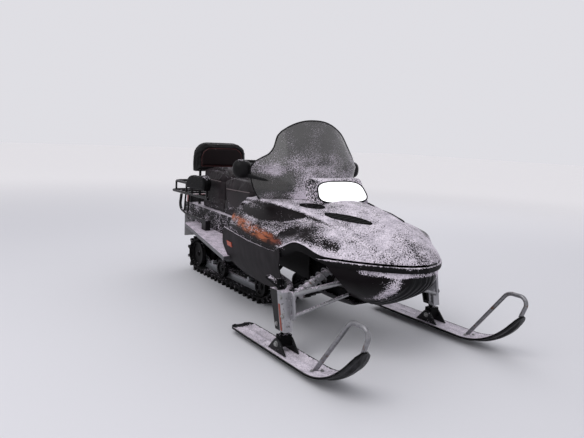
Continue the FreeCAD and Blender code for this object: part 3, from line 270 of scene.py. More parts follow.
# Cross-sections: x, then y and z of the lip, of the flank's pull and of the shoulder, z of the crown
HOOD_SECTIONS = (
    (0.020, 0.442, 0.545, 0.440, 0.645, 0.325, 0.715, 0.745),
    (0.160, 0.458, 0.530, 0.455, 0.630, 0.322, 0.724, 0.757),
    (0.300, 0.468, 0.515, 0.460, 0.620, 0.315, 0.725, 0.764),
    (0.440, 0.474, 0.505, 0.462, 0.605, 0.297, 0.717, 0.763),
    (0.570, 0.474, 0.500, 0.460, 0.600, 0.270, 0.700, 0.757),
    (0.660, 0.470, 0.535, 0.455, 0.602, 0.248, 0.684, 0.750),
    (0.750, 0.462, 0.575, 0.445, 0.606, 0.237, 0.668, 0.741),
    (0.820, 0.445, 0.570, 0.424, 0.603, 0.232, 0.655, 0.730),
    (0.900, 0.395, 0.530, 0.372, 0.590, 0.222, 0.635, 0.712),
    (0.980, 0.325, 0.521, 0.306, 0.577, 0.200, 0.615, 0.688),
    (1.050, 0.272, 0.520, 0.252, 0.566, 0.172, 0.595, 0.655),
    (1.120, 0.214, 0.520, 0.198, 0.552, 0.140, 0.570, 0.615),
    (1.180, 0.145, 0.519, 0.133, 0.541, 0.095, 0.550, 0.575),
    (1.215, 0.080, 0.518, 0.072, 0.530, 0.050, 0.533, 0.545),
    (1.235, 0.000, 0.517, 0.000, 0.517, 0.000, 0.517, 0.518),
)
SHOULDER = 0.42


def between(rows, share):
    """A row of a table at a share of its length, on a smooth curve through the rows."""
    spot = min(max(share, 0), 1) * (len(rows) - 1)
    index = min(int(spot), len(rows) - 2)
    t = spot - index
    before, start, end, after = (rows[min(max(index + step, 0), len(rows) - 1)] for step in (-1, 0, 1, 2))
    return [
        0.5 * (2 * b + (c - a) * t + (2 * a - 5 * b + 4 * c - d) * t * t + (3 * b - a - 3 * c + d) * t ** 3)
        for a, b, c, d in zip(before, start, end, after)
    ]


def ease(low, high, value):
    """A smooth step from 0 at low to 1 at high."""
    t = min(max((value - low) / (high - low), 0), 1)
    return t * t * (3 - 2 * t)


def leaf(a, b, start, end, bow, fat, soft=0.012):
    """1 inside a leaf drawn between two points, bowed sideways, fat at its middle, fading over soft."""
    along = Vector(end) - Vector(start)
    length = along.length
    offset = Vector((a, b)) - Vector(start)
    share = offset.dot(along) / length ** 2
    if not 0 < share < 1:
        return 0.0
    aside = (along.x * offset.y - along.y * offset.x) / length - bow * 4 * share * (1 - share)
    half = fat * math.sqrt(4 * share * (1 - share))
    return ease(soft, -soft, abs(aside) - half)


def hood_marks(x, y, z, t):
    """Where the flank's hollow, the stripe, the valley over the ski and the shoulder line lie, 0 to 1."""
    line = math.exp(-((t - SHOULDER) / 0.022) ** 2) * ease(1.0, 0.75, x)
    if t <= SHOULDER:
        return 0.0, 0.0, 0.0, line
    hollow = leaf(x, z, (0.03, 0.683), (0.61, 0.678), -0.013, 0.043)
    stripe = leaf(x, z, (-0.02, 0.616), (0.65, 0.545), -0.008, 0.027, 0.010)
    rear_dip = leaf(x, z, (0.56, 0.578), (0.79, 0.622), 0.014, 0.018, 0.02)
    front_dip = leaf(x, z, (0.64, 0.625), (0.95, 0.562), 0.010, 0.018, 0.02)
    return hollow, stripe, max(rear_dip, front_dip), line


def hood_point(u, v):
    """A point of the hood's skin: u from the rear edge to the nose, v from the right lip to the left."""
    x, lip_y, lip_z, pull_y, pull_z, top_y, top_z, crown = between(HOOD_SECTIONS, u)
    side = 2 * v - 1
    t = abs(side)
    if t < SHOULDER:
        q = t / SHOULDER
        y, z = top_y * q, crown - (crown - top_z) * q ** 2
        out = Vector((0, 0.25 * q, 1))
    else:
        q = (t - SHOULDER) / (1 - SHOULDER)
        y = (1 - q) ** 2 * top_y + 2 * q * (1 - q) * pull_y + q * q * lip_y
        z = (1 - q) ** 2 * top_z + 2 * q * (1 - q) * pull_z + q * q * lip_z
        out = Vector((0, 0.4 + q, 1 - 0.8 * q))
    hollow, _, valley, line = hood_marks(x, y, z, t)
    out.normalize()
    proud = 0.005 * line - 0.008 * hollow - 0.006 * valley
    y += out.y * proud
    z += out.z * proud
    return Vector((x, math.copysign(y, side), z)), t


def skin(name, along, around, point):
    """A sheet: a grid whose points the function point(u, v) puts in place."""
    bpy.ops.object.select_all(action="DESELECT")
    bpy.ops.mesh.primitive_grid_add(x_subdivisions=along, y_subdivisions=around, size=1)
    made = bpy.context.object
    made.name = name
    for vertex in made.data.vertices:
        vertex.co = point(vertex.co.x + 0.5, vertex.co.y + 0.5)
    return made


def only(piece):
    """Select this piece alone, for the operators that follow."""
    bpy.ops.object.select_all(action="DESELECT")
    bpy.context.view_layer.objects.active = piece
    piece.select_set(True)


def edit(piece, *steps):
    """Run edit-mode operators on the whole of a piece."""
    only(piece)
    bpy.ops.object.mode_set(mode="EDIT")
    bpy.ops.mesh.select_all(action="SELECT")
    for step in steps:
        step()
    bpy.ops.object.mode_set(mode="OBJECT")


def tidy(piece):
    """Join doubled points and face every wall outwards."""
    edit(piece, lambda: bpy.ops.mesh.remove_doubles(threshold=0.00002), bpy.ops.mesh.normals_make_consistent)


def turn_to(piece, way):
    """Turn a sheet over if it faces away from a direction."""
    if sum(face.normal.dot(way) for face in piece.data.polygons) < 0:
        edit(piece, bpy.ops.mesh.flip_normals)


def modify(piece, kind, **settings):
    """Add a modifier and apply it."""
    only(piece)
    modifier = piece.modifiers.new(kind.title(), kind)
    for key, value in settings.items():
        setattr(modifier, key, value)
    bpy.ops.object.modifier_apply(modifier=modifier.name)


def smooth(piece, angle):
    """Shade smooth, apart from edges sharper than the angle."""
    only(piece)
    bpy.ops.object.shade_smooth_by_angle(angle=math.radians(angle))


def finish_piece(piece, finish, body, slot, *stands_for):
    """Give a piece its material, the body it rides on and the nodes it stands for, which are hidden; the slot is
    not used.
    """
    piece.data.materials.clear()
    piece.data.materials.append(finish.material)
    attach(piece, body)
    if stands_for:
        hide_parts(*stands_for)


def carry_paint(piece, names, weigh):
    """Store named weights on the piece's points, worked out by a function of each point."""
    layers = [piece.data.attributes.new(name, "FLOAT", "POINT") for name in names]
    for vertex in piece.data.vertices:
        for layer, weight in zip(layers, weigh(vertex)):
            layer.data[vertex.index].value = weight


def walled(piece, thickness):
    """Give a sheet a wall; its inner points, which come after the outer ones, carry no paint or snow."""
    outer = len(piece.data.vertices)
    modify(piece, "SOLIDIFY", thickness=thickness, offset=-1)
    for name, bare in (("stripe", 0.0), ("chin", 0.0), ("cover", -1.0)):
        if name in piece.data.attributes:
            for spot in list(piece.data.attributes[name].data)[outer:]:
                spot.value = bare


UP = Vector((0, 0, 1))
shares = []


def hood_spot(u, v):
    """A point of the skin, which also notes how far it is from the centre line."""
    spot, t = hood_point(u, v)
    shares.append(t)
    return spot


def hood_paint(vertex):
    """The stripe's weight at a point, and how thick the snow lies."""
    x, y, z = vertex.co
    t = shares[vertex.index]
    flank = ease(SHOULDER, SHOULDER + 0.05, t)
    hollow, stripe, valley, crease = hood_marks(x, abs(y), z, t)
    front = ease(0.55, 0.85, x)
    # in the valley over the ski the snow is thinned as painted shade, so it reads dark as if in shadow
    cover = 0.62 + 0.20 * front - 0.26 * flank * (1 - front) - 0.55 * hollow - 0.70 * valley
    cover -= stripe * (0.10 + 0.35 * ease(0.25, 0.50, x))
    cover -= 0.42 * flank * ease(0.575, 0.55, z + 0.02 * x) * ease(0.66, 0.58, x) + 0.22 * ease(1.08, 1.20, x)
    # dry snow clings in a ridge round the flank's hollow, on the shoulder and along the arch's lip
    cover += 1.5 * hollow * (1 - hollow)
    cover += 0.50 * ease(0.34, 0.16, x) * leaf(x, z, (0.02, 0.697), (0.36, 0.692), 0, 0.020)
    cover += 0.60 * ease(0.955, 0.985, t) * ease(0.60, 0.68, x) * ease(0.98, 0.90, x)
    cover -= 0.60 * math.exp(-((t - SHOULDER - 0.040) / 0.016) ** 2) * ease(0.85, 0.70, x)
    cover += 0.25 * crease * ease(0.85, 0.70, x)
    return stripe, cover


hood = skin("hood_skin", 170, 150, hood_spot)
carry_paint(hood, ("stripe", "cover"), hood_paint)
tidy(hood)
turn_to(hood, UP)
walled(hood, 0.006)
smooth(hood, 35)

black_gloss = Finish("Hood plastic", Specular_IOR_Level=0.12)
swirl = black_gloss.noise(0.016, 5, (0.30, 0.6, 1.2))
maroon = black_gloss.clouds(0.05, 2, (6, 4, 6), (18, 10, 13))
rusty = black_gloss.tones(black_gloss.along(0).above(0.53, 0.16), (164, 94, 63), (88, 32, 28))
blaze = black_gloss.mix(swirl.above(0.48, 0.16), linear(52, 27, 22), rusty)
body_tone = black_gloss.mix(black_gloss.paint("stripe"), maroon, blaze)
black_gloss.snowed(body_tone, 0.34, black_gloss.paint("cover"), grain=0.0056, bite=3.0)
finish_piece(hood, black_gloss, "hood", "hood_black", "hood")

# Nose bumper: a thick strip of black rubber round the nose, under the hood's lip. Its section,
# a rounded bar, follows the lip from one ski arch round to the other.
BUMPER_HIGH, BUMPER_DEEP = 0.030, 0.016
BUMPER_REACH = 0.445


def lip_spot(u, drop, out):
    """A point on the lip's line round the nose, u from 0 at the right arch to 1 at the left one."""
    side = 2 * u - 1
    x, y, z = between(HOOD_SECTIONS, 1 - abs(side) * BUMPER_REACH)[:3]
    nearby = between(HOOD_SECTIONS, 1 - min(abs(side) + 0.01, 1.2) * BUMPER_REACH)[:3]
    run = Vector((nearby[0] - x, nearby[1] - y, 0)).normalized()
    outward = Vector((run.y, -run.x, 0)) if run.length else Vector((1, 0, 0))
    outward = outward if outward.x > 0 else -outward
    spot = Vector((x, y, z - drop)) + outward * out
    return Vector((spot.x, math.copysign(spot.y, side), spot.z))


def bumper_point(u, v):
    """A point of the bumper: u along it, v round it."""
    angle = 2 * math.pi * v
    bulge = abs(math.cos(angle)) ** 0.7 * math.copysign(1, math.cos(angle))
    rise = abs(math.sin(angle)) ** 0.6 * math.copysign(1, math.sin(angle))
    taper = ease(0, 0.05, min(u, 1 - u)) * 0.75 + 0.25
    return lip_spot(u, 0.026 - rise * taper * BUMPER_HIGH / 2, 0.002 + bulge * taper * BUMPER_DEEP / 2)


bumper = skin("nose_bumper", 140, 20, bumper_point)
modify(bumper, "WELD", merge_threshold=0.0002)
tidy(bumper)
smooth(bumper, 60)


def dusted(name, tone, gloss, rise, base, *flakes, specular=0.14, metallic=0.0):
    """Two cloudy colours under dry snow, thicker by rise where the surface faces up."""
    made = Finish(name, Specular_IOR_Level=specular, Metallic=metallic)
    made.snowed(made.clouds(*tone), gloss, made.upward() * rise + base, *flakes)
    return made


RUBBER_TONE = (0.012, 2, (6, 6, 7), (18, 17, 18))
black_rubber = dusted("Bumper rubber", RUBBER_TONE, 0.55, 0.95, -0.10, 0.009, 0.002, specular=0.12)
finish_piece(bumper, black_rubber, "chassis", "nose_plastic")

# Arch flares: a deep black lip under the hood over each ski, moulded with the hood and turned in a
# little at its foot.
FLARE_REAR, FLARE_FRONT, FLARE_DEEP = 0.592, 0.915, 0.042


def hood_row(x):
    """The hood's cross-section at a distance along the machine."""
    low, high = 0, 1
    for _ in range(24):
        middle = (low + high) / 2
        low, high = (middle, high) if between(HOOD_SECTIONS, middle)[0] < x else (low, middle)
    return between(HOOD_SECTIONS, low)


def flare_point(side):
    """Places a grid along the hood's lip, from behind the arch to the bumper, and down from it."""

    def place(u, v):
        x = FLARE_REAR + (FLARE_FRONT - FLARE_REAR) * u
        _, lip_y, lip_z = hood_row(x)[:3]
        deep = FLARE_DEEP * ease(0, 0.10, u) * ease(1.0, 0.86, u)
        return Vector((x, side * (lip_y - 0.006 - 0.014 * v ** 3), lip_z - 0.003 - (0.004 + deep) * v))

    return place


SIDES = ((-1, "right"), (1, "left"))
for side, name in SIDES:
    flare = skin("arch_flare_" + name, 64, 12, flare_point(side))
    tidy(flare)
    turn_to(flare, Vector((0, side, 0)))
    walled(flare, 0.005)
    smooth(flare, 50)
    finish_piece(flare, black_rubber, "hood", "hood_black")

# Lower nose: the hull under the bumper, smooth on its cheeks, with a ribbed grey chin along
# the keel. One sheet swept from the ski arches to the tip.

# Rows from the arch to the tip: rim x, y, z, then the cheek's pull x, y, z, then the keel's x, z
NOSE_ROWS = (
    (0.905, 0.386, 0.500, 1.050, 0.300, 0.340, 0.700, 0.211),
    (1.000, 0.302, 0.484, 1.100, 0.255, 0.330, 0.860, 0.222),
    (1.090, 0.232, 0.479, 1.155, 0.205, 0.352, 1.000, 0.268),
    (1.160, 0.160, 0.478, 1.200, 0.145, 0.382, 1.120, 0.330),
    (1.203, 0.084, 0.477, 1.224, 0.080, 0.420, 1.196, 0.392),
    (1.226, 0.000, 0.476, 1.232, 0.000, 0.450, 1.230, 0.434),
)
RIB_PITCH, RIB_DEEP = 0.034, 0.006


def chin(x, y):
    """1 on the ribbed chin, 0 on the smooth cheeks."""
    edge = 0.125 - 0.05 * ease(1.15, 1.22, x)
    return ease(edge + 0.004, edge - 0.004, abs(y)) * ease(0.90, 0.93, x)


def nose_point(u, v):
    """A point of the hull: u from the arch to the tip, v from the right rim to the left one."""
    rim_x, rim_y, rim_z, pull_x, pull_y, pull_z, keel_x, keel_z = between(NOSE_ROWS, u)
    side = 2 * v - 1
    t = abs(side)
    flat, curve, far = (1 - t) ** 2, 2 * t * (1 - t), t * t
    spot = Vector((
        flat * keel_x + curve * pull_x + far * rim_x,
        curve * pull_y + far * rim_y,
        flat * keel_z + curve * pull_z + far * rim_z,
    ))
    on_chin = chin(spot.x, spot.y)
    rib = 0.5 + 0.5 * math.tanh(4 * math.cos(2 * math.pi * spot.y / RIB_PITCH))
    proud = on_chin * (0.002 + RIB_DEEP * rib)
    spot.x += 0.5 * proud
    spot.z -= 0.8 * proud
    return Vector((spot.x, math.copysign(spot.y, side), spot.z))


def nose_paint(vertex):
    """The chin's weight at a point, and how thick the snow lies."""
    x, y, z = vertex.co
    streak = math.exp(-((abs(y) - 0.140) / 0.034) ** 2) * ease(0.26, 0.34, z)
    return chin(x, y), -0.20 + 0.95 * streak + 0.9 * ease(0.445, 0.462, z) * ease(0.98, 1.08, x)


nose = skin("nose_hull", 110, 170, nose_point)
carry_paint(nose, ("chin", "cover"), nose_paint)
tidy(nose)
walled(nose, 0.005)
smooth(nose, 50)
nose_plastic = Finish("Nose plastic", Specular_IOR_Level=0.12)
cheek = nose_plastic.clouds(0.06, 2, (5, 3, 5), (15, 9, 12))
chin_grey = nose_plastic.clouds(0.004, 2, (8, 8, 9), (22, 22, 24))
nose_tone = nose_plastic.mix(nose_plastic.paint("chin"), cheek, chin_grey)
nose_plastic.snowed(nose_tone, 0.38, nose_plastic.paint("cover"))
finish_piece(nose, nose_plastic, "chassis", "nose_plastic", "nose_shell")

# Side panels: thick grey plastic skins between the footwell and the ski arch, scuffed by boots
# and ice, with a small orange reflector near the rear edge of each. Their solids stay.
panel_grey = Finish("Panel plastic", Specular_IOR_Level=0.16)
scuff = panel_grey.noise(0.07, 5, (1.6, 1.0, 0.5))
worn = (scuff - 0.5) * 1.6 + (panel_grey.noise(0.0022, 1) - 0.5) * 0.3 + 0.25
panel_tone = panel_grey.tones(worn.held(), (24, 22, 24), (52, 47, 51))
panel_grey.snowed(panel_tone, 0.62, panel_grey.upward() * 1.0 - 0.22, grain=0.008)


def dress(finish, *names):
    """Give solids of the frame a material; their shapes stay."""
    for name in names:
        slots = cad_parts[name].data.materials
        slots.clear()
        slots.append(finish.material)


dress(panel_grey, "side_panels")

# Windshield: a smoked clear sheet bent round the front, with a wide wing low on each side and
# black piping along its edge. Snow flecks cling to it, thickest low down in front.

# Height, x of the front, where its arc ends (x, y), half way along the side, and the rear edge
GLASS_LEVELS = (
    (0.700, 0.562, 0.456, 0.161, 0.307, 0.240, 0.164, 0.322),
    (0.930, 0.420, 0.362, 0.215, 0.283, 0.314, 0.178, 0.392),
    (1.215, 0.252, 0.205, 0.175, 0.138, 0.258, 0.050, 0.318),
)
# Height and half width of the sheet's side edge, from its foot to where the top rounds over
GLASS_EDGE = (
    (0.716, 0.322), (0.770, 0.352), (0.830, 0.374), (0.890, 0.390), (0.925, 0.392), (0.950, 0.376),
    (0.975, 0.345), (1.000, 0.311), (1.035, 0.284), (1.070, 0.267), (1.105, 0.250), (1.132, 0.226),
)


def glass_x(y, z):
    """Where the sheet's outer face is, at a height and a distance from the centre line."""
    low, high = GLASS_LEVELS[:2] if z < GLASS_LEVELS[1][0] else GLASS_LEVELS[1:]
    share = (z - low[0]) / (high[0] - low[0])
    _, front, x0, y0, x1, y1, x2, y2 = (a + (b - a) * share for a, b in zip(low, high))
    y = abs(y)
    if y < y0:
        radius = (y0 ** 2 + (front - x0) ** 2) / (2 * (front - x0))
        return front - radius + math.sqrt(radius ** 2 - y ** 2)
    first = x0 * (y - y1) * (y - y2) / ((y0 - y1) * (y0 - y2))
    second = x1 * (y - y0) * (y - y2) / ((y1 - y0) * (y1 - y2))
    return first + second + x2 * (y - y0) * (y - y1) / ((y2 - y0) * (y2 - y1))


def glass_point(u, v):
    """A point of the sheet: u from the right edge to the left one, v from foot to top."""
    s = 2 * u - 1
    z, half = between(GLASS_EDGE, v)
    y = half * s
    z += 0.074 * v ** 2 * (1 - abs(s) ** 2.3) + 0.040 * (1 - v) ** 3 * (1 - abs(s) ** 1.5)
    return Vector((glass_x(y, z), y, z))


def pipe(name, points, radius, closed=False):
    """A round bar along a list of points."""
    curve = bpy.data.curves.new(name, "CURVE")
    curve.dimensions = "3D"
    curve.bevel_depth = radius
    curve.bevel_resolution = 2
    curve.use_fill_caps = not closed
    run = curve.splines.new("POLY")
    run.points.add(len(points) - 1)
    for spot, point in zip(run.points, points):
        spot.co = (*point, 1)
    run.use_cyclic_u = closed
    made = bpy.data.objects.new(name, curve)
    scene.collection.objects.link(made)
    only(made)
    bpy.ops.object.convert(target="MESH")
    smooth(bpy.context.object, 60)
    return bpy.context.object


def glass_cling(vertex):
    """How thick the flecks cling at a point of the sheet: less on the wings, more on their upper edge. Where it is
    low the sheet is painted a lighter grey, a painted sheen.
    """
    _, y, z = vertex.co
    low = ease(1.16, 0.80, z)
    wing = ease(0.20, 0.25, abs(y)) * ease(0.905, 0.84, z)
    band = math.exp(-((abs(y) - 0.335) / 0.03) ** 2) * ease(0.87, 0.90, z) * ease(0.96, 0.92, z)
    return (-0.13 + 0.52 * low - 0.80 * wing + 0.30 * band + 0.30 * ease(0.80, 0.765, z),)


glass = skin("windshield_sheet", 100, 96, glass_point)
carry_paint(glass, ("cling",), glass_cling)
walled(glass, 0.004)
smooth(glass, 60)
smoke = Finish("Smoked sheet", Specular_IOR_Level=0.35)
flecks = smoke.noise(0.0042, 3)
patches = smoke.noise(0.11, 2)
snow = ((flecks - 0.5) * 2.8 + (patches - 0.5) * 1.3 + smoke.paint("cling")).above(0.36, 0.24)
sheet_tone = smoke.clouds(0.20, 2, (48, 48, 48), (92, 90, 89))
# painted sheen: where little snow clings, on the wings, the sheet is painted a lighter flat grey
sheet_tone = smoke.mix(smoke.paint("cling").above(-0.45, 0.30), linear(92, 90, 86), sheet_tone)
smoke.colour(smoke.mix(snow, sheet_tone, linear(204, 194, 206)))
smoke.rough(smoke.blend(snow, 0.14, 0.85))
smoke.feed(smoke.shader.inputs["Alpha"], smoke.blend(snow, 0.80, 0.97))
smoke.relief(snow * flecks, 0.0010)
finish_piece(glass, smoke, "hood", "windshield_smoke", "windshield")

STEPS = [number / 60 for number in range(61)]
edge_line = [glass_point(0, v) for v in STEPS] + [glass_point(u, 1) for u in STEPS[1:-1]]
edge_line += [glass_point(1, v) for v in reversed(STEPS)]
moulded_black = dusted("Moulded black", (0.05, 4, (7, 7, 8), (24, 23, 24)), 0.46, 0.85, -0.50, 0.008)
finish_piece(pipe("windshield_piping", edge_line, 0.0042), moulded_black, "hood", "mirror_black")
foot_line = [glass_point(u, 0) + Vector((0.006, 0, 0.004)) for u in STEPS]
finish_piece(pipe("windshield_seal", foot_line, 0.0065), moulded_black, "hood", "mirror_black")

# Headlight: a wide rounded lens, lit, sloping back in a black housing ahead of the windshield.
LENS_FOOT, LENS_HEAD = Vector((0.582, 0, 0.744)), Vector((0.508, 0, 0.860))
LENS_OUT, LENS_LIFT, LENS_BULGE = Vector((0.843, 0, 0.538)), 0.004, 0.011
LAMP_PALE, LAMP_WHITE = (0.93, 0.94, 0.96, 1), (1, 1, 1, 1)


def lens_point(u, v, swell=1.0):
    """A point of the lens: a square drawn in to a rounded oblong, domed outwards."""
    a, b = 2 * u - 1, 2 * v - 1
    reach = max(abs(a), abs(b))
    drawn = reach / max((abs(a) ** 3.4 + abs(b) ** 3.4) ** (1 / 3.4), 1e-6)
    a, b = a * drawn, b * drawn
    spot = LENS_FOOT + (LENS_HEAD - LENS_FOOT) * (0.475 + 0.495 * b * swell)
    spot += LENS_OUT * (LENS_LIFT + LENS_BULGE * (1 - reach ** 2.4))
    spot.y = a * (0.170 - 0.014 * b) * swell
    return spot


lens = skin("headlight_glass", 48, 30, lens_point)
walled(lens, 0.004)
smooth(lens, 50)
lit = Finish("Lit lens", Roughness=0.15, Emission_Strength=1.15)
flutes = lit.bands(26.0)
lit.colour(lit.mix(lit.noise(0.30, 1), LAMP_PALE, LAMP_WHITE))
lit.feed(lit.shader.inputs["Emission Color"], lit.mix(flutes, LAMP_PALE, LAMP_WHITE))
lit.relief(flutes, 0.0008)
finish_piece(lens, lit, "hood", "lamp_white", "headlight_lens")
around = [(s, 0) for s in STEPS[::2]] + [(1, s) for s in STEPS[2::2]]
around += [(1 - s, 1) for s in STEPS[2::2]] + [(0, 1 - s) for s in STEPS[2:-2:2]]
bezel_line = [lens_point(u, v, swell=1.015) for u, v in around]
finish_piece(pipe("headlight_bezel", bezel_line, 0.0046, closed=True), moulded_black, "hood", "mirror_black")
FLECKED_TONE = (0.03, 3, (12, 12, 13), (34, 33, 35))
flecked_black = dusted("Flecked housing", FLECKED_TONE, 0.4, 0.4, 0.44, 0.007, 0.0012, 3.0)
dress(flecked_black, "headlight_housing")

# Instruments: a black pod behind the windshield with two round dials that face the rider.
dress(moulded_black, "instrument_pod")
POD_FACE, POD_NORMAL = Vector((0.281, 0, 0.823)), Vector((-0.771, 0, 0.637))


def square_to(axis):
    """Two directions square to an axis and to each other."""
    side = axis.orthogonal().normalized()
    return side, axis.cross(side)


def turned(name, start, end, rows, sides=32):
    """A turned form about an axis: rows of share of the way and radius."""
    start, end = Vector(start), Vector(end)
    side, other = square_to((end - start).normalized())

    def place(u, v):
        share, radius = between_straight(rows, u)
        angle = 2 * math.pi * v
        return start + (end - start) * share + (side * math.cos(angle) + other * math.sin(angle)) * radius

    made = skin(name, 2 * len(rows) - 2, sides, place)
    tidy(made)
    smooth(made, 40)
    return made


def between_straight(rows, share):
    """A row of a table at a share of its length, on straight runs between the rows."""
    spot = min(max(share, 0), 1) * (len(rows) - 1)
    index = min(int(spot), len(rows) - 2)
    return [a + (b - a) * (spot - index) for a, b in zip(rows[index], rows[index + 1])]


def joined(name, parts):
    """Several meshes as one piece."""
    bpy.ops.object.select_all(action="DESELECT")
    for part in parts:
        part.select_set(True)
    bpy.context.view_layer.objects.active = parts[0]
    if len(parts) > 1:
        bpy.ops.object.join()
    parts[0].name = name
    return parts[0]


RIM_ROWS = ((0, 0.001), (0, 0.044), (0.5, 0.044), (1, 0.041), (1, 0.037), (0.6, 0.036), (0.6, 0.001))
FACE_ROWS = ((0, 0.0005), (0, 0.036), (1, 0.036), (1, 0.0005))
DIAL_UP = Vector((POD_NORMAL.z, 0, -POD_NORMAL.x))
rims, faces, needles = [], [], []
for y in (-0.062, 0.062):
    centre = POD_FACE + Vector((0, y, 0)) - POD_NORMAL * 0.002
    front = centre + POD_NORMAL * 0.0060
    rims.append(turned("rim", centre, centre + POD_NORMAL * 0.010, RIM_ROWS))
    faces.append(turned("face", centre, centre + POD_NORMAL * 0.0055, FACE_ROWS))
    for degrees in range(-30, 211, 30):
        angle = math.radians(degrees)
        way = Vector((0, math.cos(angle), 0)) + DIAL_UP * math.sin(angle)
        needles.append(pipe("tick", [front + way * 0.027, front + way * 0.033], 0.0008))
    needles.append(pipe("needle", [front, front + (Vector((0, 0.8, 0)) - DIAL_UP * 0.6) * 0.026], 0.0011))
finish_piece(joined("dial_rims", rims), moulded_black, "hood", "console_black")
dial_black = Finish("Dial face", Roughness=0.35).mottled((0.01, 2, (12, 12, 14), (24, 24, 28)))
finish_piece(joined("dial_faces", faces), dial_black, "hood", "console_black")
dial_white = Finish("Dial marks", Roughness=0.5).mottled((0.01, 2, (220, 220, 215), (240, 240, 238)))
finish_piece(joined("dial_marks", needles), dial_white, "hood", "lamp_white")

# Mirrors: a rounded black housing on each flank of the windshield, on an arm that tapers to the
# sheet, with a flat mirror towards the rider.

# Sections of the housing and of the arm: x, middle y and z, half width and half height
MIRROR_ROWS = (
    (0.088, 0.418, 0.902, 0.001, 0.001), (0.088, 0.418, 0.902, 0.048, 0.046),
    (0.092, 0.418, 0.902, 0.055, 0.053), (0.105, 0.418, 0.902, 0.059, 0.057),
    (0.125, 0.417, 0.901, 0.056, 0.054), (0.142, 0.415, 0.900, 0.045, 0.045),
    (0.153, 0.413, 0.900, 0.027, 0.028), (0.157, 0.412, 0.900, 0.001, 0.001),
)
ARM_ROWS = (
    (0.104, 0.404, 0.876, 0.001, 0.001), (0.106, 0.403, 0.876, 0.030, 0.021),
    (0.140, 0.380, 0.868, 0.028, 0.019), (0.180, 0.354, 0.859, 0.020, 0.014),
    (0.225, 0.326, 0.849, 0.013, 0.010), (0.256, 0.309, 0.843, 0.001, 0.001),
)
PANE_ROWS = ((0, 0.0005), (0, 0.045), (1, 0.044), (1, 0.0005))
LOBE_SIDES = 28


def lobed(name, rows, side, along):
    """A closed rounded form through sections across the machine."""

    def place(u, v):
        x, y, z, half_y, half_z = between(rows, u)
        angle = 2 * math.pi * v
        wide = math.copysign(abs(math.cos(angle)) ** 0.82, math.cos(angle))
        high = math.copysign(abs(math.sin(angle)) ** 0.82, math.sin(angle))
        return Vector((x, side * (y + half_y * wide), z + half_z * high))

    made = skin(name, along, LOBE_SIDES, place)
    tidy(made)
    smooth(made, 60)
    return made


silvered = Finish("Mirror glass", Metallic=1.0).mottled((0.05, 2, (168, 172, 178), (188, 192, 198)))
silvered.rough(silvered.blend(silvered.noise(0.01, 4).above(0.62, 0.1), 0.05, 0.6))
for side, name in SIDES:
    parts = [lobed("housing", MIRROR_ROWS, side, 28), lobed("arm", ARM_ROWS, side, 20)]
    finish_piece(joined("mirror_" + name, parts), moulded_black, "hood", "mirror_black", "mirrors")
    at = Vector((0.0885, side * 0.418, 0.902))
    pane = turned("mirror_pane_" + name, at, at - Vector((0.002, 0, 0)), PANE_ROWS, 40)
    finish_piece(pane, silvered, "hood", "mirror_black")

# Hood vents: on each side a small black opening by the shoulder and a long crescent ahead of it,
# with low slats across.
VENT_LEAVES = (
    # one end and the other seen from above, bow to the inside, half width, slats
    ((0.482, 0.246), (0.626, 0.176), -0.002, 0.025, 4),
    ((0.672, 0.212), (0.946, 0.112), 0.008, 0.022, 8),
)


def hood_top(x, y):
    """Height of the hood's skin between its shoulders."""
    row = hood_row(x)
    return row[7] - (row[7] - row[6]) * (y / row[5]) ** 2


def vent_point(start, end, bow, fat, slats, side):
    """Places a grid as a leaf of slats on the hood."""
    start, end = Vector(start), Vector(end)
    along = end - start
    aside = Vector((-along.y, along.x)).normalized()

    def place(u, v):
        s = 2 * v - 1
        half = fat * math.sqrt(max(4 * u * (1 - u), 0))
        spot = start + along * u + aside * (bow * 4 * u * (1 - u) + half * s)
        rim = ease(0.80, 0.90, abs(s))
        slat = 0.0020 * (0.5 + 0.5 * math.sin(2 * math.pi * slats * (u + 0.08 * s)))
        rise = -0.003 if abs(s) > 0.99 else 0.0006 + 0.0052 * rim + slat * (1 - rim)
        return Vector((spot.x, side * spot.y, hood_top(spot.x, spot.y) + rise))

    return place


vent_black = Finish("Vent black", Specular_IOR_Level=0.10)
vent_black.snowed(vent_black.clouds(0.01, 3, (3, 3, 4), (11, 10, 11)), 0.5, -0.12, grain=0.008)
for side, name in SIDES:
    leaves = [skin("vent", 96, 22, vent_point(*row, side)) for row in VENT_LEAVES]
    vents = joined("hood_vents_" + name, leaves)
    tidy(vents)
    turn_to(vents, UP)
    smooth(vents, 50)
    finish_piece(vents, vent_black, "hood", "vent_black", "hood_vents")

# Console: a moulded black cover over the fuel tank between hood and seat, with soft shoulders, a
# well for the steering post and a ribbed filler cap on top.


def moulded(name, node, voxel, rounds):
    """A copy of a solid of the frame with its edges rounded as in a mould."""
    only(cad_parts[node])
    bpy.ops.object.duplicate()
    made = bpy.context.object
    made.name = name
    made.data = made.data.copy()
    made.data.materials.clear()
    tidy(made)
    modify(made, "REMESH", mode="VOXEL", voxel_size=voxel)
    modify(made, "SMOOTH", factor=0.5, iterations=rounds)
    smooth(made, 60)
    return made


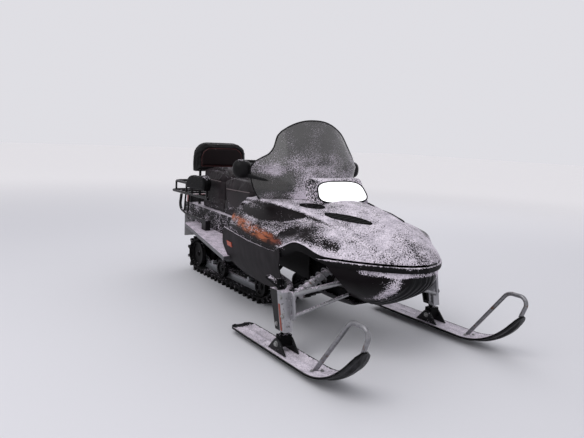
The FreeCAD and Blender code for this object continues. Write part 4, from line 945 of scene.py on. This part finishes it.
console_skin = moulded("console_cover", "fuel_console", 0.006, 5)
CONSOLE_TONE = (0.06, 4, (10, 10, 11), (28, 27, 29))
console_black = dusted("Console black", CONSOLE_TONE, 0.58, 0.5, -0.32, 0.007, specular=0.15)
finish_piece(console_skin, console_black, "chassis", "console_black", "fuel_console")
CAP_ROWS = (
    (0.00, 0.001), (0.00, 0.052), (0.22, 0.052), (0.26, 0.041),
    (0.85, 0.040), (1.00, 0.035), (0.94, 0.026), (0.90, 0.001),
)
CAP_X, CAP_FOOT, CAP_TOP, CAP_GROOVES = -0.065, 0.768, 0.796, 12
cap = turned("filler_cap", (CAP_X, 0, CAP_FOOT), (CAP_X, 0, CAP_TOP), CAP_ROWS, 72)
for vertex in cap.data.vertices:
    # finger grooves round the cap's side
    x, y, z = vertex.co
    if z > CAP_FOOT + 0.008:
        spread = 1 - 0.035 * max(math.cos(CAP_GROOVES * math.atan2(y, x - CAP_X)), 0) ** 2
        vertex.co = (CAP_X + (x - CAP_X) * spread, y * spread, z)
cap_black = Finish("Cap black", Specular_IOR_Level=0.35)
cap_black.mottled((0.012, 4, (10, 10, 11), (34, 33, 34)), (0.003, 2, 0.42, 0.62), (0.0015, 2, 0.0002))
finish_piece(cap, cap_black, "chassis", "console_black")

# Handlebar: bent black tube on the steering post, wrapped with a pad over its middle, with
# ribbed rubber grips at its ends and a lever ahead of each.
TUBE_TONE = (0.02, 4, (7, 7, 8), (24, 23, 24))
tube_black = dusted("Black tube", TUBE_TONE, 0.38, 0.95, -0.62, 0.010, specular=0.2)
dress(tube_black, "handlebar")
BAR_ELBOW, BAR_END = Vector((0.010, 0.190, 0.935)), Vector((-0.040, 0.340, 0.935))
GRIP_ROWS = tuple(
    [(0.0, 0.0115), (0.0, 0.0195), (0.045, 0.0195), (0.05, 0.0165)]
    + [(0.06 + 0.86 * ring / 32, 0.0163 if ring % 2 else 0.0148) for ring in range(33)]
    + [(0.93, 0.0165), (0.94, 0.0180), (0.985, 0.0178), (1.0, 0.0150), (1.0, 0.001)]
)
LEVER_ROWS = (
    (0.0, 0.001), (0.0, 0.0075), (0.12, 0.0070), (0.55, 0.0052),
    (0.92, 0.0048), (0.97, 0.0068), (1.0, 0.0055), (1.0, 0.001),
)
PERCH_ROWS = ((0, 0.012), (0, 0.0185), (0.5, 0.0195), (1, 0.0185), (1, 0.012))
BOSS_ROWS = ((0, 0.010), (0.8, 0.0095), (1, 0.008), (1, 0.0005))


def sided(point, side):
    """A point of the left side, or its mirror image on the right."""
    return Vector((point.x, side * point.y, point.z))


grip_rubber = Finish("Grip rubber", Specular_IOR_Level=0.15)
grip_rubber.mottled((0.01, 3, (8, 8, 8), (22, 21, 21)), (0.004, 2, 0.6, 0.85), (0.001, 2, 0.0002))
lever_steel = Finish("Lever", Metallic=0.6)
lever_steel.mottled((0.01, 4, (70, 70, 72), (128, 128, 130)), (0.006, 4, 0.3, 0.55))
grips, levers, blocks = [], [], []
run = (BAR_END - BAR_ELBOW).normalized()
perch = BAR_END - run * 0.135
forward = Vector((0.030, -0.004, -0.006))
BAR_PARTS = (
    (grips, "grip", BAR_END - run * 0.114, BAR_END + run * 0.004, GRIP_ROWS, 28),
    (blocks, "perch", perch - run * 0.018, perch + run * 0.014, PERCH_ROWS, 24),
    (blocks, "boss", perch, perch + forward, BOSS_ROWS, 16),
    (levers, "lever", perch + forward * 0.9, BAR_END - run * 0.020 + forward * 1.1, LEVER_ROWS, 16),
)
for side, _ in SIDES:
    for group, name, start, end, rows, sides in BAR_PARTS:
        group.append(turned(name, sided(start, side), sided(end, side), rows, sides))
finish_piece(joined("grip_rubbers", grips), grip_rubber, "steering", "grip_rubber", "grips")
finish_piece(joined("hand_levers", levers), lever_steel, "steering", "tube_black")
finish_piece(joined("lever_perches", blocks), tube_black, "steering", "tube_black")


def bar_pad_point(u, v):
    """The foam wrap over the bar's middle: a rounded oblong with drawn ends."""
    y = (u - 0.5) * 0.150
    swell = (1 - abs(2 * u - 1) ** 5) ** 0.35 if abs(2 * u - 1) < 1 else 0
    angle = 2 * math.pi * v
    deep = 0.0165 + 0.012 * swell
    high = 0.0165 + 0.016 * swell
    return Vector((0.029 + deep * math.cos(angle), y, 0.905 + 0.006 * swell + high * math.sin(angle)))


bar_pad = skin("handlebar_pad", 40, 32, bar_pad_point)
tidy(bar_pad)
smooth(bar_pad, 60)
finish_piece(bar_pad, console_black, "steering", "console_black")

# Seats: two vinyl covers over foam, the passenger's a step higher, each with piping where its top
# meets its sides. The foam is made by cloth under pressure, held down along its foot.
CLOTH_FRAMES, SEAM_LIFT = 20, 0.0008


def foam(name, node, inset, voxel, cap, held, sink=0.0, soften=6):
    """A padded form in the space of a solid: drawn in, remeshed, blown up as cloth, held in places."""
    low, high = (Vector(corner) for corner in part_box(node))
    made = moulded(name, node, voxel, soften)
    middle = (low + high) / 2
    for vertex in made.data.vertices:
        for axis in range(3):
            half = (high[axis] - low[axis]) / 2
            vertex.co[axis] = middle[axis] + (vertex.co[axis] - middle[axis]) * (half - inset) / half
        if vertex.co.z < middle.z:
            vertex.co.z -= sink * inset * (middle.z - vertex.co.z) / (middle.z - low.z)
    hold = made.vertex_groups.new(name="hold")
    hold.add([vertex.index for vertex in made.data.vertices if held(vertex.co)], 1.0, "REPLACE")
    before = [vertex.co.copy() for vertex in made.data.vertices]
    only(made)
    cloth = made.modifiers.new("Foam", "CLOTH")
    cloth.settings.use_pressure = True
    cloth.settings.uniform_pressure_force = 4
    cloth.settings.effector_weights.gravity = 0
    cloth.settings.vertex_group_mass = "hold"
    cloth.settings.quality = 4
    cloth.point_cache.frame_start, cloth.point_cache.frame_end = 1, CLOTH_FRAMES
    for number in range(CLOTH_FRAMES):
        scene.frame_set(number + 1)
    bpy.ops.object.modifier_apply(modifier=cloth.name)
    scene.frame_set(1)
    for vertex, start in zip(made.data.vertices, before):
        moved = vertex.co - start
        if moved.length > cap:
            vertex.co = start + moved * (cap / moved.length)
    modify(made, "SMOOTH", factor=0.5, iterations=3)
    modify(made, "SUBSURF", levels=1, render_levels=1)
    return made


def press(piece, groove):
    """Press sewn lines into a pad: groove gives a depth for each point."""
    moves = [vertex.normal * -groove(vertex.co) for vertex in piece.data.vertices]
    for vertex, move in zip(piece.data.vertices, moves):
        vertex.co += move
    smooth(piece, 60)


def around_seam(piece, middle, spots):
    """Points on a pad's surface, found from spots outside it towards its middle."""
    found = []
    for spot in spots:
        aim = Vector(middle(spot)) - spot
        hit, place, normal, _ = piece.ray_cast(spot, aim.normalized())
        if hit:
            found.append(place + normal * SEAM_LIFT)
    return found


def vinyl(name, dark, light, snow, specular=0.16):
    """Grained vinyl: pores, broad creases, and lighter clouds that are partly a little wear and partly a painted
    sheen.
    """
    made = Finish(name, Specular_IOR_Level=specular)
    creases_and_sheen = made.noise(0.11, 3)
    # blown snow has caught low on the sides
    cover = made.upward() * 0.5 + (1 - made.along(2).above(0.63, 0.10)) * 0.42 + snow
    # the lighter of the two tones is partly a painted sheen
    made.snowed(made.tones(creases_and_sheen.above(0.5, 0.5), dark, light), 0.47, cover, grain=0.008)
    return made.relief(made.cells(420.0) * 0.35 + creases_and_sheen * 0.65, 0.0008)


seat_vinyl = vinyl("Cushion vinyl", (22, 19, 21), (44, 37, 40), -0.34)
piping_light = Finish("Seam piping", Roughness=0.55)
piping_light.mottled((0.01, 3, (88, 74, 76), (132, 120, 121)), grain=(0.002, 2, 0.0002))
# The share of the piping's line that runs along each side
SEAM_SIDE = 0.36


def make_seat(name, node, seam_rear, seam_front, rear, front, half, lines):
    """A cushion with piping: its seam's heights, x of its ends, half width, x of the lines across it."""
    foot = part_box(node)[0][2]
    pad = foam(name + "_cushion", node, 0.009, 0.0075, 0.014, lambda co: co.z < foot + 0.045, sink=1.0)

    def seam_height(x):
        return seam_rear + (seam_front - seam_rear) * (x - rear) / (front - rear)

    def groove(co):
        height = seam_height(co.x)
        on_top = ease(height + 0.03, height + 0.06, co.z)
        deep = sum(0.006 * math.exp(-((co.x - line) / 0.009) ** 2) for line in lines)
        deep += 0.0035 * math.exp(-((abs(co.y) - half * 0.66) / 0.008) ** 2)
        return 0.0045 * math.exp(-((co.z - height) / 0.007) ** 2) + deep * on_top

    def inward(spot):
        x, y = max(spot.x, rear + 0.06), max(spot.y, -half + 0.09)
        return min(x, front - 0.09), min(y, half - 0.09), spot.z

    press(pad, groove)
    finish_piece(pad, seat_vinyl, "chassis", "seat_vinyl", node)
    seam = []
    for number in range(121):
        share = number / 120
        if share < SEAM_SIDE:
            x, y = rear + (front - rear) * share / SEAM_SIDE, -half - 0.1
        elif share < 1 - SEAM_SIDE:
            x, y = front + 0.1, half * (share - 0.5) / (0.5 - SEAM_SIDE)
        else:
            x, y = front - (front - rear) * (share - 1 + SEAM_SIDE) / SEAM_SIDE, half + 0.1
        seam.append(Vector((x, y, seam_height(min(max(x, rear), front)))))
    piping = pipe(name + "_piping", around_seam(pad, inward, seam), 0.0028)
    finish_piece(piping, piping_light, "chassis", "seat_vinyl")


make_seat("rider", "seat", 0.716, 0.722, -0.592, -0.163, 0.185, (-0.47,))
make_seat("passenger", "passenger_seat", 0.762, 0.758, -0.974, -0.611, 0.175, (-0.735, -0.865))

# Backrest: a vinyl pad with a rounded top on the bent tube behind the passenger, near black, with
# an inner panel edged by a dark red seam.
back_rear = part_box("backrest_pad")[0][0]
back_pad = foam("backrest_cushion", "backrest_pad", 0.007, 0.006, 0.011, lambda co: co.x < back_rear + 0.010)


def panel_edge(co):
    """How far a point of the backrest lies inside its outline, seen from the front."""
    y, z = abs(co.y), co.z
    corner = Vector((max(y - 0.118, 0), max(z - 0.932, 0)))
    if corner.x > 0 and corner.y > 0:
        return 0.110 - corner.length
    return min(0.228 - y, z - 0.800, 1.042 - z)


def on_front(co):
    """1 on the backrest's front, 0 behind it."""
    return ease(-1.040, -1.020, co.x)


press(back_pad, lambda co: 0.007 * math.exp(-((panel_edge(co) - 0.052) / 0.007) ** 2) * on_front(co))
carry_paint(back_pad, ("panel",), lambda vertex: (ease(0.050, 0.056, panel_edge(vertex.co)) * on_front(vertex.co),))
back_vinyl = Finish("Backrest vinyl", Specular_IOR_Level=0.14)
back_tone = back_vinyl.clouds(0.08, 3, (8, 7, 8), (20, 18, 20))
inner_tone = back_vinyl.clouds(0.06, 3, (12, 6, 8), (24, 12, 14))
back_tone = back_vinyl.mix(back_vinyl.paint("panel"), back_tone, inner_tone)
back_vinyl.snowed(back_tone, 0.46, back_vinyl.upward() * 0.55 - 0.45)
back_vinyl.relief(back_vinyl.cells(420.0) * 0.3 + back_vinyl.noise(0.09, 3) * 0.7, 0.0008)
finish_piece(back_pad, back_vinyl, "chassis", "seat_vinyl", "backrest_pad")
PANEL_CORNERS = ((0.176, 0.850), (0.176, 0.920), (0.160, 0.962), (0.118, 0.990), (0.0, 0.990))
panel_seam = []
for start, end in zip(PANEL_CORNERS, PANEL_CORNERS[1:]):
    panel_seam += [Vector((-0.95, s, t)) for s, t in (Vector(start).lerp(end, k / 8) for k in range(8))]
panel_seam.append(Vector((-0.95, 0, 0.990)))
panel_seam += [Vector((p.x, -p.y, p.z)) for p in reversed(panel_seam[:-1])]
panel_seam += [Vector((-0.95, y / 100, 0.850)) for y in range(-16, 17, 2)]
seam_red = Finish("Dark red seam", Roughness=0.5)
seam_red.mottled((0.008, 3, (52, 12, 15), (80, 24, 26)), grain=(0.002, 2, 0.0002))
red_line = around_seam(back_pad, lambda spot: (-1.06, spot.y, spot.z), panel_seam)
finish_piece(pipe("backrest_seam", red_line, 0.0026, closed=True), seam_red, "chassis", "seat_vinyl")

# Grab guards: padded hand holds in coarse black vinyl, one on each side of the passenger seat.
GUARD_MIDDLE, GUARD_FOOT = 0.266, 0.684
guard_vinyl = vinyl("Guard vinyl", (5, 5, 6), (14, 13, 14), -0.26, specular=0.05)
guards = foam("guard_pads", "grab_guards", 0.0, 0.006, 0.006, lambda co: co.z < 0.694, soften=5)
for vertex in guards.data.vertices:
    # both pads are drawn in towards their own middle plane and foot
    side = math.copysign(GUARD_MIDDLE, vertex.co.y)
    vertex.co.y = side + (vertex.co.y - side) * 0.90
    vertex.co.z = GUARD_FOOT + (vertex.co.z - GUARD_FOOT) * 0.965


def guard_groove(co):
    """The sewn line round each pad's face."""
    aside = abs(abs(co.y) - GUARD_MIDDLE) - 0.017
    return 0.004 * math.exp(-(aside / 0.0045) ** 2) * ease(0.69, 0.71, co.z)


press(guards, guard_groove)
finish_piece(guards, guard_vinyl, "chassis", "seat_vinyl", "grab_guards")

# Skis: black plastic blades with rolled edges and a ridge along the middle, turned up in front
# like a spoon, a steel wear bar under each keel. Snow is packed on the decks.
SKI_MIDDLE, SKI_TAIL, SKI_BEND, SKI_CURVE, SKI_SWEEP = 0.5335, 0.350, 1.075, 0.400, math.radians(62)
SKI_FLOOR, SKI_THICK = 0.024, 0.012
# Where along the blade's line, 0 at its tail to 1 at its tip, and its half width there
SKI_PLAN = (
    (0.000, 0.030), (0.012, 0.058), (0.040, 0.074), (0.500, 0.0745), (0.680, 0.0745), (0.800, 0.072),
    (0.880, 0.066), (0.940, 0.055), (0.975, 0.041), (0.993, 0.022), (1.000, 0.004),
)


def ski_line(share):
    """A spot on the blade's underside, and the way up from it there."""
    run = SKI_BEND - SKI_TAIL
    total = run + SKI_CURVE * SKI_SWEEP
    distance = share * total
    if distance < run:
        return Vector((SKI_TAIL + distance, 0, SKI_FLOOR)), Vector((0, 0, 1))
    angle = (distance - run) / SKI_CURVE
    spot = Vector((SKI_BEND + SKI_CURVE * math.sin(angle), 0, SKI_FLOOR + SKI_CURVE * (1 - math.cos(angle))))
    return spot, Vector((-math.sin(angle), 0, math.cos(angle)))


def ski_half(share):
    """Half width of the blade at a share of its line."""
    for (start, first), (end, second) in zip(SKI_PLAN, SKI_PLAN[1:]):
        if share <= end:
            t = (share - start) / (end - start)
            return first + (second - first) * t
    return SKI_PLAN[-1][1]


def ski_point(side):
    """Places a grid as a closed blade: round the section from one edge over the deck and back below."""

    def place(u, v):
        u = u ** 0.9
        spot, up = ski_line(u)
        half = ski_half(u)
        over = v < 0.5
        s = (4 * v - 1) if over else (3 - 4 * v)
        s = math.sin(s * math.pi / 2)
        lip = ease(0.80, 0.98, abs(s)) * min(half / 0.05, 1)
        if over:
            ridge = math.exp(-(s * half / 0.010) ** 2) * ease(0.02, 0.10, u)
            height = SKI_THICK - 0.003 * (1 - abs(s) ** 2) + 0.004 * lip + 0.006 * ridge
            height -= 0.004 * ease(0.97, 1.0, abs(s))
        else:
            # the keel under the middle, deep along the flat and fading up the tip
            keel = ease(0.020, 0.014, abs(s * half)) * ease(0.06, 0.09, u) * ease(1.0, 0.93, u)
            height = 0.004 * lip - 0.011 * keel + 0.003 * ease(0.92, 1.0, abs(s))
        return spot + up * height + Vector((0, side * SKI_MIDDLE + half * s, 0))

    return place


ski_plastic = Finish("Ski plastic", Specular_IOR_Level=0.2)
ski_scuff = ski_plastic.noise(0.03, 5, (0.35, 2.0, 1.0))
ski_tone = ski_plastic.tones(ski_scuff.above(0.52, 0.35), (8, 8, 9), (40, 40, 43))
ski_plastic.snowed(ski_tone, 0.42, ski_plastic.paint("drift"), grain=0.012, relief=0.003)
SADDLE_X = 0.8128
EAR_ROWS = ((-0.080, 0.036), (0.080, 0.036), (0.028, 0.092), (0.016, 0.103), (-0.016, 0.103), (-0.028, 0.092))


def plate(name, outline, y_low, y_high, bevel=0.0015):
    """A flat plate: a side outline of x and z between two distances from the centre line."""
    made = skin(name, 1, 1, lambda u, v: Vector((0, 0, 0)))
    edit(made, lambda: bpy.ops.mesh.delete(type="VERT"))
    made.data.vertices.add(len(outline))
    for vertex, (x, z) in zip(made.data.vertices, outline):
        vertex.co = (x, y_low, z)
    made.data.update()
    made.data.edges.add(len(outline))
    for index, edge in enumerate(made.data.edges):
        edge.vertices = (index, (index + 1) % len(outline))
    made.data.update()
    across = {"value": (0, y_high - y_low, 0)}
    edit(made, bpy.ops.mesh.edge_face_add, lambda: bpy.ops.mesh.extrude_region_move(TRANSFORM_OT_translate=across))
    tidy(made)
    modify(made, "BEVEL", width=bevel, segments=2, limit_method="ANGLE")
    smooth(made, 35)
    return made


def ski_drift(vertex):
    """How thick the snow lies at a point of a blade: packed on the deck, thin at the edges and the tip."""
    x, y, _ = vertex.co
    deck = ease(-0.1, 0.5, vertex.normal.z)
    heap = ease(0.37, 0.42, x) * ease(1.36, 1.20, x) * ease(0.0735, 0.064, abs(abs(y) - SKI_MIDDLE))
    return (-0.35 + deck * (0.15 + 1.25 * heap + 0.09 * ease(1.30, 1.20, x)),)


for side, name in SIDES:
    blade = skin("ski_blade", 150, 56, ski_point(side))
    tidy(blade)
    carry_paint(blade, ("drift",), ski_drift)
    smooth(blade, 45)
    outline = [(SADDLE_X + x, z) for x, z in EAR_ROWS]
    inner_faces = (side * SKI_MIDDLE - 0.044, side * SKI_MIDDLE + 0.034)
    ears = [plate("ear", outline, low, low + 0.010) for low in inner_faces]
    for ear in ears:
        carry_paint(ear, ("drift",), lambda vertex: (0.02,))
    blade = joined("ski_blade_" + name, [blade] + ears)
    finish_piece(blade, ski_plastic, "steered_ski_" + name, "ski_plastic", "ski_" + name)

# Ski loops and wear bars: bare grey steel, brushed by use, with a bolt through the ski's tip.
bare_steel = Finish("Bare steel", Metallic=0.85)
steel_wear = bare_steel.noise(0.02, 5, (1, 1, 1.6))
rust = bare_steel.noise(0.035, 4).above(0.66, 0.12)
steel_tone = bare_steel.tones(steel_wear, (86, 86, 90), (168, 167, 170))
bare_steel.colour(bare_steel.mix(rust, steel_tone, linear(112, 84, 70)))
bare_steel.rough(bare_steel.blend(rust, 0.36, 0.7))
bare_steel.relief(steel_wear, 0.0003)
dress(bare_steel, "wear_bar_left", "wear_bar_right", "ski_loop_left", "ski_loop_right")
HEX_ROWS = ((0, 0.001), (0, 1.0), (0.75, 1.0), (1.0, 0.86), (1.0, 0.001))
WASHER_ROWS = ((0, 0.001), (0, 1), (1, 0.96), (1, 0.001))


def bolt(at, way, across, high):
    """A bolt head on a thin washer, pointing a way."""
    at, way = Vector(at), Vector(way).normalized()
    head = turned("bolt", at, at + way * high, [(share, radius * across / 2) for share, radius in HEX_ROWS], 6)
    smooth(head, 20)
    ring = [(share, radius * across * 0.72) for share, radius in WASHER_ROWS]
    washer = turned("washer", at - way * 0.001, at + way * high * 0.22, ring, 20)
    return joined("bolt", [head, washer])


zinc = Finish("Plated bolts", Metallic=0.9)
zinc.mottled((0.006, 4, (120, 120, 122), (188, 188, 186)), (0.004, 3, 0.3, 0.55), (0.002, 2, 0.0001))
tip_spot, tip_up = ski_line(0.958)
for side, name in SIDES:
    middle = side * SKI_MIDDLE
    heads = [bolt((SADDLE_X, middle + way * 0.0445, 0.078), (0, way, 0), 0.021, 0.011) for way in (-1, 1)]
    heads += [
        bolt((x, middle + aside, 0.0375), (-0.07, 0, 1), 0.013, 0.006)
        for x, aside in ((1.112, 0.022), (1.090, -0.022))
    ]
    heads += [
        bolt(tip_spot + tip_up * 0.013 + Vector((0, middle + aside, 0)), tip_up, 0.012, 0.006)
        for aside in (-0.026, 0.026)
    ]
    finish_piece(joined("ski_bolts_" + name, heads), zinc, "steered_ski_" + name, "loop_steel")

# Ski legs: a silver channel housing on the end of the trailing arm carries each kingpin. A strip
# of orange-red runs down its outer face, bolts and a bracket with the radius rods face inwards.
RAKE, KINGPIN_X, KINGPIN_Z, PLATE_REAR = math.tan(math.radians(12)), 0.800, 0.140, 0.838
leg_silver = Finish("Silver paint", Metallic=0.55)
chips = leg_silver.noise(0.016, 5).above(0.66, 0.10)
silver_tone = leg_silver.clouds(0.07, 3, (134, 133, 138), (178, 177, 181))
silver_tone = leg_silver.mix(chips, silver_tone, linear(70, 64, 62))
# only the plate ahead of the kingpin is silver: behind it the casting and the arm are near black, partly black
# paint and partly painted shade, dark like the shadowed inside of the arch
along_rake = {0: leg_silver.place(), 1: (1, 0, RAKE)}
leaning = leg_silver.node("VectorMath", {"operation": "DOT_PRODUCT"}, along_rake, output=1)
silver_and_shade_tone = leg_silver.mix(leaning.above(PLATE_REAR, 0.004), linear(16, 15, 16), silver_tone)
leg_silver.snowed(silver_and_shade_tone, 0.38, leg_silver.upward() * 1.1 - 0.30, grain=0.009, relief=0.002)
ROD_TONE = (0.02, 4, (112, 112, 116), (176, 176, 178))
rod_silver = dusted("Silver tube", ROD_TONE, 0.34, 1.0, -0.42, 0.007, specular=0.5, metallic=0.7)
dress(leg_silver, "swing_arms")
dress(rod_silver, "radius_rods")
orange_strip = Finish("Orange-red paint", IOR=1.5)
strip_worn = orange_strip.noise(0.012, 5).above(0.62, 0.10)
orange_strip.colour(orange_strip.tones(strip_worn, (136, 56, 37), (86, 62, 55)))
orange_strip.rough(orange_strip.blend(strip_worn, 0.42, 0.55)).relief(strip_worn * -1, 0.0003)
STRIP_CORNERS = ((0.146, 0.016), (0.146, 0.030), (0.276, 0.026), (0.276, 0.012))


def leg_x(z, ahead):
    """X on a housing at a height, ahead of the kingpin."""
    return KINGPIN_X - (z - KINGPIN_Z) * RAKE + ahead


for side, name in SIDES:
    face = side * (SKI_MIDDLE + 0.0235)
    outline = [(leg_x(z, ahead), z) for z, ahead in STRIP_CORNERS]
    strip = plate("leg_strip_" + name, outline, *sorted((face - side * 0.001, face + side * 0.0012)), 0.0004)
    finish_piece(strip, orange_strip, "chassis", "leg_silver")
    heads = [
        bolt((leg_x(z, ahead), face - side * 0.0005, z), (0, side, 0), size, 0.008)
        for z, ahead, size in ((0.312, 0.040, 0.020), (0.222, 0.044, 0.022), (0.168, -0.020, 0.017))
    ]
    heads += [
        bolt((x, side * 0.5045, z), (0, -side, 0), 0.019, 0.009)
        for x, z in ((0.8015, 0.318), (0.812, 0.250))
    ]
    finish_piece(joined("leg_bolts_" + name, heads), zinc, "chassis", "leg_silver")

# Front shocks: a silver damper in a helical spring, from the housing's stub to the frame.
SHOCK_FOOT, SHOCK_HEAD = Vector((0.792, 0.480, 0.292)), Vector((0.822, 0.212, 0.462))
SHOCK_ROWS = (
    (0.00, 0.001), (0.00, 0.013), (0.055, 0.013), (0.075, 0.008), (0.115, 0.008), (0.12, 0.031), (0.135, 0.033),
    (0.15, 0.031), (0.155, 0.024), (0.44, 0.024), (0.46, 0.020), (0.84, 0.020), (0.85, 0.031), (0.865, 0.033),
    (0.88, 0.031), (0.89, 0.013), (0.94, 0.011), (1.00, 0.013), (1.00, 0.001),
)
EYE_ROWS = ((0, 0.008), (0, 0.0165), (0.1, 0.0172), (0.9, 0.0172), (1, 0.0165), (1, 0.008))
EYE_HALF = Vector((0, 0.0115, 0))
COIL_TURNS, COIL_STEPS, COIL_RADIUS = 6, 192, 0.0283
for side, name in SIDES:
    start, end = sided(SHOCK_FOOT, side), sided(SHOCK_HEAD, side)
    damper = [turned("damper", start, end, SHOCK_ROWS, 28)]
    damper += [turned("eye", eye - EYE_HALF, eye + EYE_HALF, EYE_ROWS, 24) for eye in (start, end)]
    finish_piece(joined("shock_damper_" + name, damper), leg_silver, "chassis", "spring_steel", "front_shocks")
    one, other = square_to((end - start).normalized())
    coil = []
    for number in range(COIL_STEPS + 1):
        share = number / COIL_STEPS
        angle = 2 * math.pi * COIL_TURNS * share
        out = one * math.cos(angle) + other * math.sin(angle)
        coil.append(start.lerp(end, 0.140 + 0.708 * share) + out * COIL_RADIUS)
    finish_piece(pipe("shock_spring_" + name, coil, 0.0047), bare_steel, "chassis", "spring_steel")

# Tunnel, boards and frame: folded aluminium sheet, dull and scratched, with snow packed on the
# boards; a black painted frame ahead, with the engine block inside.
folded = Finish("Folded sheet", Metallic=0.7)
rubbed = folded.noise(0.03, 5, (0.3, 1, 3.0))
sheet_silver = folded.tones(rubbed, (60, 60, 63), (118, 118, 122))
folded.snowed(sheet_silver, 0.45, folded.upward() * 1.5 - 0.20, grain=0.012, relief=0.004, bite=3.2)
dress(folded, "running_boards")
tunnel_black = Finish("Tunnel paint", Specular_IOR_Level=0.14)
tunnel_tone = tunnel_black.clouds(0.03, 5, (12, 11, 12), (32, 30, 32))
rearward = tunnel_black.along(0) * -1
# no snow under the hood
open_air = rearward.above(0.0, 0.12) * (tunnel_black.upward() * 0.8 + 0.54)
tunnel_black.snowed(tunnel_tone, 0.5, open_air + rearward.above(0.1, 0.3) * 0.42 - 0.70, grain=0.008, relief=0.002)
dress(tunnel_black, "tunnel")
black_paint = Finish("Black paint", Specular_IOR_Level=0.06)
paint_chips = black_paint.noise(0.02, 5).above(0.66, 0.08)
# near black: partly the frame's black paint, partly painted shade for the shaded inside of the arch
paint_and_shade_tone = black_paint.tones(paint_chips, (4, 4, 5), (34, 29, 27))
black_paint.snowed(paint_and_shade_tone, 0.5, black_paint.upward() * 0.8 - 0.45, grain=0.010)
dress(black_paint, "front_frame", "drive_axle", "track_suspension", "ski_leg_left", "ski_leg_right")
cast = Finish("Cast metal", Metallic=0.5)
cast.mottled((0.05, 5, (80, 80, 82), (124, 123, 122)), (0.01, 4, 0.55, 0.8), (0.002, 3, 0.0005))
dress(cast, "engine_block")
pan_plastic = dusted("Pan plastic", (0.05, 4, (9, 8, 9), (24, 22, 24)), 0.45, 0.6, -0.30, 0.010)
dress(pan_plastic, "belly_pan")

# Track: one lugged loop of black rubber with snow pressed into it, round aluminium slide rails and
# black wheels.
TRACK_TONE = (0.03, 4, (8, 8, 9), (24, 23, 24))
track_rubber = dusted("Track rubber", TRACK_TONE, 0.72, 0.12, 0.04, 0.013, 0.003, specular=0.12)
dress(track_rubber, "track")
rail_metal = Finish("Rail metal", Metallic=0.85)
drawn = rail_metal.noise(0.012, 4, (0.08, 1, 2.5))
rail_tone = rail_metal.tones(drawn, (134, 136, 140), (184, 186, 189))
rail_metal.snowed(rail_tone, 0.38, rail_metal.upward() * 0.9 - 0.35, grain=0.010)
dress(rail_metal, "slide_rails")
wheel_black = dusted("Wheel rubber", (0.02, 4, (8, 8, 9), (26, 25, 26)), 0.55, 0.5, -0.25, 0.010)
dress(wheel_black, "idler_wheels")

# Tail: rack, rails and backrest frame in black tube with snow along their tops, a ribbed red
# taillight, a thin grey snow flap and the black hitch.
dress(tube_black, "backrest_frame", "luggage_rack", "side_rails", "tow_hitch")
lamp_red = Finish("Red lens", Roughness=0.18, IOR=1.5)
fine_ribs = lamp_red.bands(55.0)
lens_tone = lamp_red.tones(fine_ribs, (96, 8, 14), (170, 24, 34))
# its front is the black housing
lens_tone = lamp_red.mix(lamp_red.along(0, "Normal").above(0.4, 0.2), lens_tone, linear(14, 13, 14))
lamp_red.snowed(lens_tone, 0.2, lamp_red.upward() * 0.7 - 0.40, grain=0.007)
lamp_red.relief(fine_ribs, 0.0012)
dress(lamp_red, "taillight")
flap_grey = Finish("Snow flap", IOR=1.4)
flap_film = flap_grey.noise(0.09, 4)
flap_grey.snowed(flap_grey.tones(flap_film, (138, 137, 140), (188, 187, 190)), 0.55, -0.10, grain=0.010)
flap_grey.feed(flap_grey.shader.inputs["Alpha"], flap_grey.blend(flap_film, 0.88, 0.98))
dress(flap_grey, "snow_flap")
reflector_orange = Finish("Orange reflector", Roughness=0.2, IOR=1.5)
prisms = reflector_orange.cells(260.0)
reflector_orange.colour(reflector_orange.tones(prisms, (196, 74, 24), (140, 40, 18)))
reflector_orange.relief(prisms, 0.0006)
dress(reflector_orange, "side_reflectors")
